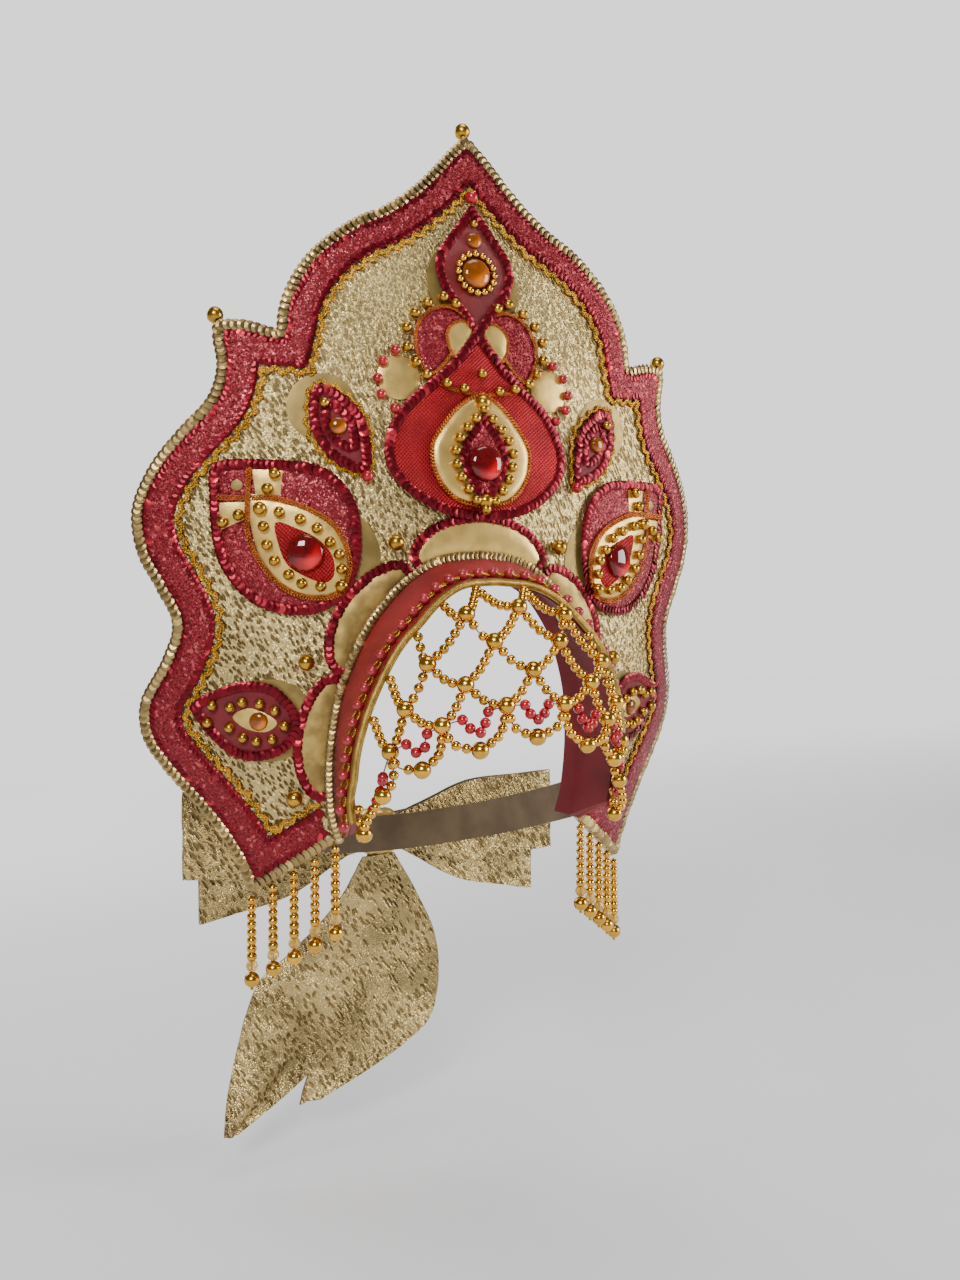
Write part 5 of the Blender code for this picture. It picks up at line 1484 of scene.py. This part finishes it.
class HEADDRESS_OT_leaves(bpy.types.Operator):
    """Build the three pairs of leaves with their braids, rings of beads and stones"""
    bl_idname = "headdress.leaves"
    bl_label = "Leaves"

    def execute(self, context):
        sizes = context.scene.headdress_sizes
        small, big = outline(SMALL_LEAF, crest_place), outline(BIG_LEAF, field_place, 0.0025)
        low, drop = outline(LOW_LEAF, field_place), outline(BIG_DROP, field_place)
        eye = outline(((0.140, -0.088), (0.132, -0.083), (0.122, -0.087), (0.117, -0.092), (0.123, -0.097),
                       (0.133, -0.095)))
        window = outline(((0.120, 0.024), (0.108, 0.0205), (0.097, 0.0145), (0.0895, 0.005), (0.0885, -0.006),
                          (0.094, -0.0105), (0.1045, -0.0065), (0.113, -0.0005), (0.1175, 0.009)))
        top = FIRST - 0.0004
        for name, loop, finish in (("small_leaf", small, "lining"), ("big_leaf", big, "glitter"), ("low_leaf", low, "lining")):
            both(name + "_glitter", loop, LIFT, top, finish, "red_glitter_fabric", name, grid=0.0035, dome=0.0004)
        both("big_leaf_panel", drop, top, FIRST + PATCH, "smooth_leatherette", "smooth_gold_leatherette",
             "big_leaf_drop", grid=0.003, dome=0.0004)
        both("big_leaf_mesh", window, FIRST + PATCH - 0.0002, FIRST + PATCH + 0.0008, "mesh", "red_mesh_fabric",
             grid=0.003)
        both("low_leaf_eye", eye, top, FIRST + 0.0006, "smooth_leatherette", "smooth_gold_leatherette", grid=0.003,
             dome=0.0005)
        for name, corner in (("patch_inner", ((0.1325, 0.0545), (0.1305, 0.0390), (0.1175, 0.0400), (0.1165, 0.0540))),
                             ("patch_outer", ((0.1495, 0.0355), (0.1360, 0.0360), (0.1355, 0.0265), (0.1485, 0.0200)))):
            both(name, evenly([Vector(p) for p in corner + corner[:1]], 0.002)[:-1], top, FIRST + 0.0006,
                 "smooth_leatherette", "smooth_gold_leatherette", grid=0.003)
        # The glue spot too is in the painted shade of the smooth leatherette
        both("glue_spot", disc((0.1405, 0.0455), 0.0030), top, FIRST + 0.0004, "painted_shade_smooth_leatherette",
             "smooth_gold_leatherette", grid=0.003)
        rows, braids, ring, pearls = [], [], [], []
        for side in (1, -1):
            inside = [Vector((0.0855, 0.082)).lerp(p, 0.55) for p in small]
            for loop in (small, big, low, inside):
                rows.append(laid(flipped(loop + loop[:1], side), FIRST + 0.0003))
            for line in (((0.1505, 0.0385), (0.134, 0.0382), (0.121, 0.038), (0.105, 0.033), (0.090, 0.024), (0.0825, 0.012),
                          (0.0800, -0.002), (0.084, -0.016)),
                         ((0.134, 0.0555), (0.1345, 0.038), (0.1345, 0.020), (0.129, 0.004), (0.119, -0.010),
                          (0.106, -0.018), (0.092, -0.019), (0.084, -0.016))):
                braids.append(laid(curve_through([Vector((side * x, z)) for x, z in line]), FIRST + PATCH + 0.0006))
            for x, z, size in ((0.128, 0.032, 1.2), (0.0844, -0.0123, 1.2), (0.118, 0.030, 1), (0.107, 0.026, 1),
                               (0.098, 0.021, 1), (0.091, 0.013, 1), (0.086, 0.006, 1), (0.0846, -0.0026, 1),
                               (0.126, 0.022, 1), (0.124, 0.0115, 1), (0.120, 0.0024, 1), (0.1125, -0.0056, 1),
                               (0.1056, -0.0107, 1), (0.0956, -0.0124, 1)):
                ring.append(pinned(side * x, z, FIRST + PATCH + 0.0024, size))
            for x, z in ((0.1207, 0.0520), (0.1243, 0.0435), (0.1390, 0.0285), (0.1470, 0.0245)):
                ring.append(pinned(side * x, z, FIRST + 0.0028, 1.05))
            for x, z in ((0.150, -0.081), (0.141, -0.082), (0.135, -0.079), (0.126, -0.080), (0.118, -0.084),
                         (0.113, -0.093), (0.119, -0.101), (0.127, -0.102), (0.134, -0.100), (0.141, -0.094),
                         (0.152, -0.091)):
                ring.append(pinned(side * x, z, FIRST + 0.0024, 0.95))
            ring.append(pinned(side * 0.094, 0.093, FIRST + 0.0024, 0.9))
            pearls.append(pinned(side * 0.070, 0.0515, 0.0034, 1.15))
        sequins("leaf_sequins", rows, "wine_sequins", "red_satin", Rise=0.0004, width=sizes.wine_sequin,
                pitch=sizes.wine_pitch, Tilt=0.24, Wobble=0.15, Seed=15)
        braided("leaf_braid", routes(braids), 3, finish="fine_braid", Reach=0.0013, Lift=0.0003, Period=0.0052,
                Thick=0.0008)
        around = [laid(flipped([p + (p - Vector((0.086, 0.080))).normalized() * 0.0045 for p in small], side), 0.0016)
                  for side in (1, -1)]
        braided("small_leaf_braid", routes(around, closed=True), 3, Reach=0.0009, Lift=0.0004, Period=0.0042,
                Thick=0.0011, Wave=0.0010, Wavelength=0.0085)
        beads_at("leaf_beads", ring, "bead", "antique_beads", "gold_plastic_beads", width=sizes.ring_bead, Seed=16)
        beads_at("leaf_pearls", pearls, "bead", "red_pearls", "ruby_stone", width=sizes.pearl, Seed=17)
        leaf_top = 2 * LIFT + APPLIQUE
        for name, (x, z), base, width, rise, finish in (
            ("small_leaf_stone", crest_place(SMALL_STONE), leaf_top, SMALL_AMBER, SMALL_RISE, "amber"),
            ("big_leaf_ruby", field_place(BIG_STONE), leaf_top + PATCH + LIFT, RUBY, RUBY_RISE, "ruby"),
            ("low_leaf_stone", field_place(LOW_STONE), leaf_top, LOW_AMBER, SMALL_RISE, "amber"),
        ):
            for side, label in ((1, "right"), (-1, "left")):
                stone = turned_mesh(name, side * x, z, base, cabochon(width, rise), finish)
                piece(f"{name}_gem_{label}", stone, finish + "_stone", f"{name}_{label}")
        return {"FINISHED"}


class HEADDRESS_OT_band(bpy.types.Operator):
    """Build the brow band: satin, lining, gold sequins, loop braid with pearls, and the front cord"""
    bl_idname = "headdress.band"
    bl_label = "Brow band"

    def execute(self, context):
        sizes = context.scene.headdress_sizes
        piece("band_satin", lofted("band_satin", band_sections(0.0, BAND_WALL, None, 1.0), "satin"), "red_satin",
              "brow_band")
        first = BAND_WALL + GAP
        lining = lofted("band_lining", band_sections(first, first + LINING_WALL, None, 0.95, LINING_PAD), "lining")
        piece("band_lining", lining, "dark_red_lining", "brow_lining")
        line = arch_moved(arch_line(), ARCH_TRIM / 2 - 0.0012)
        sequins("arch_chain", [laid(line, LIFT + 0.0018)], "gold_sequins", "gold_sequins", "arch_sequins",
                width=sizes.edge_sequin - 0.0014, pitch=sizes.edge_pitch - 0.0009, Tilt=0.40, Wobble=0.10, Seed=21)
        path = band_path(1 - BAND_BRAID / BAND_REACH, 0.0)
        length = lengths_of([p for p, _ in path])[-1]
        pitch = length / round(length / 0.010)
        braided("loop_braid", routes([[(p + n * 0.0014, n) for p, n in path]]), 2, "band_braid", Reach=0.0038,
                Lift=0.0006, Period=2 * pitch, Thick=0.0015)
        pearls = band_path(1 - 0.7 * BAND_BRAID / BAND_REACH, 0.0032)
        grown("band_pearls", routes([pearls]), row_tree("bead"), "pink_pearls", "ruby_stone",
              Pitch=0.999 * pitch, Width=sizes.pearl + 0.0003, Tilt=0.0, Wobble=0.4, Seed=23)
        cord = [(p, Vector((0, -1, 0))) for p in cord_route()]
        grown("front_cord", routes([cord]), plait_tree(1), "cord", "gold_cord", "band_cord", Reach=0.0, Lift=0.0,
              Thick=CORD_THICK, Sides=14)
        return {"FINISHED"}


def brow_depth(x, z, edge):
    """How far back a point of the net lies; edge is the cord's route, right half from the crown."""
    low, high = -NET_DROP, edge[0].z
    share = max(0.0, min(1.0, (z - low) / (high - low)))
    middle = -NET_REACH + (NET_REACH + edge[0].y) * (1 - math.sqrt(1 - share**2))
    rim = edge[-1]
    for above, below in zip(edge, edge[1:]):
        if below.z <= z <= above.z:
            rim = above.lerp(below, (above.z - z) / max(1e-9, above.z - below.z))
            break
    return between(middle, rim.y, min(1.0, abs(x) / rim.x) ** 3)


def net_places():
    """Where the net's big beads hang and where its strands are tied to the cord, on the right half."""
    route = cord_route()
    edge = route[len(route) // 2:]
    shares = arch_shares(arch_line(0.0045))[len(route) // 2:]
    places = {}
    for row, column, across, down in NET_BEADS:
        x, z = across * ARCH_HALF, -down * NET_DROP
        places[row, column] = Vector((x, brow_depth(x, z, edge), z))
    for column, share in NET_TIES:
        k = min(range(1, len(edge) - 1), key=lambda i: abs(shares[i] - share))
        run = edge[k + 1] - edge[k - 1]
        inward = Vector((run.z, 0, -run.x)).normalized()
        places["t", column] = edge[k] + (inward * 0.8 + Vector((0, -0.6, 0))) * (CORD_THICK / 2 + 0.0024)
    return places


class HEADDRESS_OT_net(bpy.types.Operator):
    """String the bead net over the brow, with its scallops and red pearls"""
    bl_idname = "headdress.net"
    bl_label = "Bead net"

    def execute(self, context):
        sizes = context.scene.headdress_sizes
        places = net_places()
        out = Vector((0, -1, 0))
        big = [(Vector((side * p.x, p.y, p.z)), out, 1.0) for (row, column), p in places.items() if row != "t"
               for side in ((1,) if column == 0 else (1, -1))]
        beads_at("net_beads", big, "ball", "gold_beads", "gold_plastic_beads", "bead_net", width=NET_BEAD, Seed=31)
        strands, pearls, threads = [], [], []
        cut = (NET_BEAD + sizes.net_bead) / 2 - 0.0004
        for row, column, to_row, to_column in NET_STRANDS:
            start, end = places[row, column], places[to_row, to_column]
            aside = 0.0042 if to_row == "e" else 0.0
            sag = Vector((math.copysign(aside, start.x - end.x), 0, -NET_SAG))
            bow = refined([start, start.lerp(end, 0.5) + sag, end], 6)
            for side in (1, -1):
                line = [Vector((side * p.x, p.y, p.z)) for p in bow]
                threads.append([(p, out) for p in line])
                first = 0.0 if row == "t" else cut
                strands.append([(p, out) for p in evenly(line, 0.001, first, cut)])
        grown("net_strands", routes(strands), row_tree("bead"), "gold_beads", "gold_plastic_beads",
              Pitch=0.78 * sizes.net_bead, Width=sizes.net_bead, Tilt=0.0, Wobble=0.5, Seed=32)
        hooks = [(places["d", 1], Vector((-places["d", 1].x, *places["d", 1].yz)), places["e", 0])]
        for a, b, low in ((("d", 1), ("d", 3), ("e", 2)), (("d", 3), ("d", 5), ("e", 4)), (("d", 5), ("f", 7), ("e", 6))):
            hooks.append((places[a], places[b], places[low]))
        for k, (a, b, low) in enumerate(hooks):
            ends, dip, drop = (a.lerp(b, 0.30), a.lerp(b, 0.70)), low + Vector((0, 0, 0.0098)), Vector((0, 0, -0.002))
            line = [ends[0], ends[0].lerp(dip, 0.55) + drop, dip, ends[1].lerp(dip, 0.55) + drop, ends[1]]
            for side in ((1,) if k == 0 else (1, -1)):
                string = [Vector((side * p.x, p.y - 0.001, p.z)) for p in refined(line, 6)]
                pearls.append([(p, out) for p in string])
                threads.append([(Vector((side * p.x, p.y, p.z)), out) for p in (a, *line, b)])
        grown("net_pearls", routes(pearls), row_tree("bead"), "red_pearls", "ruby_stone",
              Pitch=0.86 * sizes.pearl, Width=sizes.pearl, Tilt=0.0, Wobble=0.5, Seed=34)
        grown("net_threads", routes(threads), plait_tree(1), "thread", "gold_plastic_beads", Reach=0.0, Lift=0.0,
              Thick=0.0009, Sides=5)
        return {"FINISHED"}


class HEADDRESS_OT_pendants(bpy.types.Operator):
    """Hang five strings of beads under each wing"""
    bl_idname = "headdress.pendants"
    bl_label = "Pendants"

    def execute(self, context):
        tip, end = crest_place(SIDE[-1]), arch_place(ARCH[-1])
        slope = (end - tip).normalized()
        beads, clear, big, stops, threads, nodes = [], [], [], [], [], []
        for i in range(5):
            spot = tip.lerp(end, 0.05 + 0.22 * i)
            drop = 0.95 * 0.0025 * abs(slope.y / slope.x) + 1.2 * GAP
            length = PENDANT * (1 + 0.012 * i)
            for side, label in ((1, "right"), (-1, "left")):
                head = on_board(side * spot.x, spot.y, EDGE_RISE - BOARD_WALL / 2)
                head.z -= drop
                out, down = Vector((0, -1, 0)), Vector((0, 0, -1))
                foot = head + down * length
                beads.append([(head + down * (0.0024 + (length - 0.0162) * k / 12), out) for k in range(13)])
                clear.append((foot - down * 0.0083, out, 1.0))
                big.append((foot, out, 1.0))
                stops.append((foot + down * (PENDANT_BEAD / 2 + 0.0006), out, 1.0))
                threads.append([(head - down * 0.001, out), (foot + down * 0.004, out)])
                nodes.append(f"pendant_{label}_{i + 1}")
        grown("pendant_strings", routes(beads), row_tree("bead"), "gold_beads", "gold_plastic_beads", *nodes,
              Pitch=0.0046, Width=0.0055, Swell=0.16, Tilt=0.0, Wobble=0.5, Seed=41)
        beads_at("pendant_clear", clear, "facet", "clear_beads", "gold_plastic_beads", width=0.0074, Seed=42)
        beads_at("pendant_ends", big, "ball", "gold_beads", "gold_plastic_beads", width=PENDANT_BEAD, Seed=43)
        beads_at("pendant_stops", stops, "bead", "antique_beads", "gold_plastic_beads", width=0.0022, Seed=44)
        grown("pendant_threads", routes(threads), plait_tree(1), "thread", "gold_plastic_beads", Reach=0.0,
              Lift=0.0, Thick=0.0008, Sides=5)
        return {"FINISHED"}


def board_back(x, z):
    return bend(x, z) + BOARD_WALL / abs(board_normal(x, z).y)


class HEADDRESS_OT_bow(bpy.types.Operator):
    """Fold the nape strap, the bow's knot and loops, and the two cut tails"""
    bl_idname = "headdress.bow"
    bl_label = "Strap and bow"

    def execute(self, context):
        self.strap()
        centre = Vector((0, NAPE_BACK + 2 * GAP + KNOT_THICK / 2, -NAPE_DROP))
        self.knot(centre)
        self.loops(centre)
        self.tails(centre)
        return {"FINISHED"}

    def strap(self):
        place = arch_place(ARCH[-1])
        x, foot = place.x + STRAP_LAP, place.y
        rows = []
        for k in range(33):
            turn = math.pi * k / 32
            row = []
            for rise in (STRAP_WIDE, 0.0):
                start = board_back(x, foot + rise) + 2 * GAP
                y = between(start, NAPE_BACK, math.sin(turn))
                z = between(foot + rise, rise - NAPE_DROP - STRAP_WIDE / 2, math.sin(turn))
                row.append(Vector((x * math.cos(turn), y, z)))
            rows.append([row[0].lerp(row[1], j / 6) for j in range(7)])
        made = piece("strap_leatherette", slab_mesh("strap", rows, CLOTH, "ribbon_leatherette", "backing_cloth", crease=0.0006),
                     "gold_leatherette", "nape_strap")

    def knot(self, centre):
        points, faces = [], []
        rows, sides = 17, 40
        for i in range(rows):
            x = -0.5 + i / (rows - 1)
            pinch = 1 - 0.16 * (2 * abs(x)) ** 4
            for k in range(sides):
                turn = 2 * math.pi * k / sides
                pleat = 0.02 * math.cos(2 * math.pi * 3 * (x + 0.08 * math.sin(turn)))
                y = math.copysign(abs(math.sin(turn)) ** 0.6, math.sin(turn)) * KNOT_THICK / 2
                z = math.copysign(abs(math.cos(turn)) ** 0.6, math.cos(turn)) * KNOT_HIGH / 2
                points.append(centre + Vector((x * KNOT_WIDE, y * (pinch - 0.02 + pleat), z * (pinch - 0.02 + pleat))))
        for i in range(rows - 1):
            for k in range(sides):
                a, b = sides * i + k, sides * i + (k + 1) % sides
                faces.append((a, a + sides, b + sides, b))
        faces += [tuple(range(sides)), tuple(reversed(range(sides * (rows - 1), sides * rows)))]
        piece("knot_leatherette", meshed("knot", points, faces, "smooth_leatherette"), "smooth_gold_leatherette",
              "bow_knot")

    def loops(self, centre):
        inner, depth = KNOT_WIDE / 2 + GAP + CLOTH, LOOP_OPEN / 4 - CLOTH
        for name, (reach, rise), behind in LOOPS:
            for side, label in ((1, "right"), (-1, "left")):
                grid = []
                for along, deep in FOLD:
                    x = between(inner, LOOP_REACH * reach, along)
                    y = centre.y + behind * LOOP_OPEN / 2 + deep * depth
                    z = centre.z + LOOP_HIGH * rise * along
                    spread = LOOP_HIGH / 2 * min(1.0, 0.42 + 1.3 * along)
                    grid.append([Vector((side * x, y, z + spread * share)) for share in (1, 0.5, 0, -0.5, -1)])
                grid = refined_grid(grid, 5, 4)
                mesh = slab_mesh(name, grid, CLOTH * side, "backing_cloth", "ribbon_leatherette", ring=True,
                                 crease=0.0010 * side, seed=7)
                made = piece(f"{name}_cloth_{label}", mesh, "gold_leatherette", f"{name}_{label}")

    def tails(self, centre):
        for name, table, behind in (("tail_front", FRONT_TAIL, 0.0), ("tail_back", BACK_TAIL, 1.0)):
            grid = []
            for left, right, down in table:
                z = centre.z - KNOT_HIGH / 2 - GAP - down * (TAIL_DROP - KNOT_HIGH / 2)
                y = centre.y - CLOTH + behind * TAIL_STEP + 2 * TAIL_STEP * math.sin(3 * down)
                ends = [Vector((share * LOOP_REACH, y, z)) for share in (left, right)]
                row = [ends[0].lerp(ends[1], k / 3) for k in range(4)]
                wave = TAIL_WAVE * min(1.0, 2 * down) * min(1.0, 4 * (right - left))
                row[1].y += wave * (2 * behind - 1)
                row[2].y += wave * 0.5
                grid.append(row)
            grid = refined_grid(grid, 6, 7)
            mesh = slab_mesh(name, grid, CLOTH, "backing_cloth", "ribbon_leatherette", crease=0.0034, seed=3 + behind)
            made = piece(f"{name}_cloth", mesh, "gold_leatherette", name)


class HEADDRESS_PT_sidebar(bpy.types.Panel):
    """Lists the headdress's pieces, sizes and colours"""
    bl_idname = "HEADDRESS_PT_sidebar"
    bl_label = "Headdress"
    bl_space_type = "VIEW_3D"
    bl_region_type = "UI"
    bl_category = "Headdress"

    def draw(self, context):
        layout = self.layout
        for made in OPERATORS:
            layout.operator(made.bl_idname)
        for group in (context.scene.headdress_sizes, context.scene.headdress_colours):
            box = layout.box()
            for key in group.__annotations__:
                box.prop(group, key)


OPERATORS = (
    HEADDRESS_OT_stage, HEADDRESS_OT_board, HEADDRESS_OT_border, HEADDRESS_OT_backing, HEADDRESS_OT_motif,
    HEADDRESS_OT_leaves, HEADDRESS_OT_band, HEADDRESS_OT_net, HEADDRESS_OT_pendants, HEADDRESS_OT_bow,
)
CLASSES = (HeaddressSizes, HeaddressColours, *OPERATORS, HEADDRESS_PT_sidebar)


def register():
    for made in CLASSES:
        bpy.utils.register_class(made)
    bpy.types.Scene.headdress_sizes = bpy.props.PointerProperty(type=HeaddressSizes)
    bpy.types.Scene.headdress_colours = bpy.props.PointerProperty(type=HeaddressColours)


def unregister():
    del bpy.types.Scene.headdress_sizes
    del bpy.types.Scene.headdress_colours
    for made in reversed(CLASSES):
        bpy.utils.unregister_class(made)


def main():
    register()
    for made in OPERATORS:
        getattr(bpy.ops.headdress, made.bl_idname.split(".")[1])()


if __name__ == "__main__":
    main()
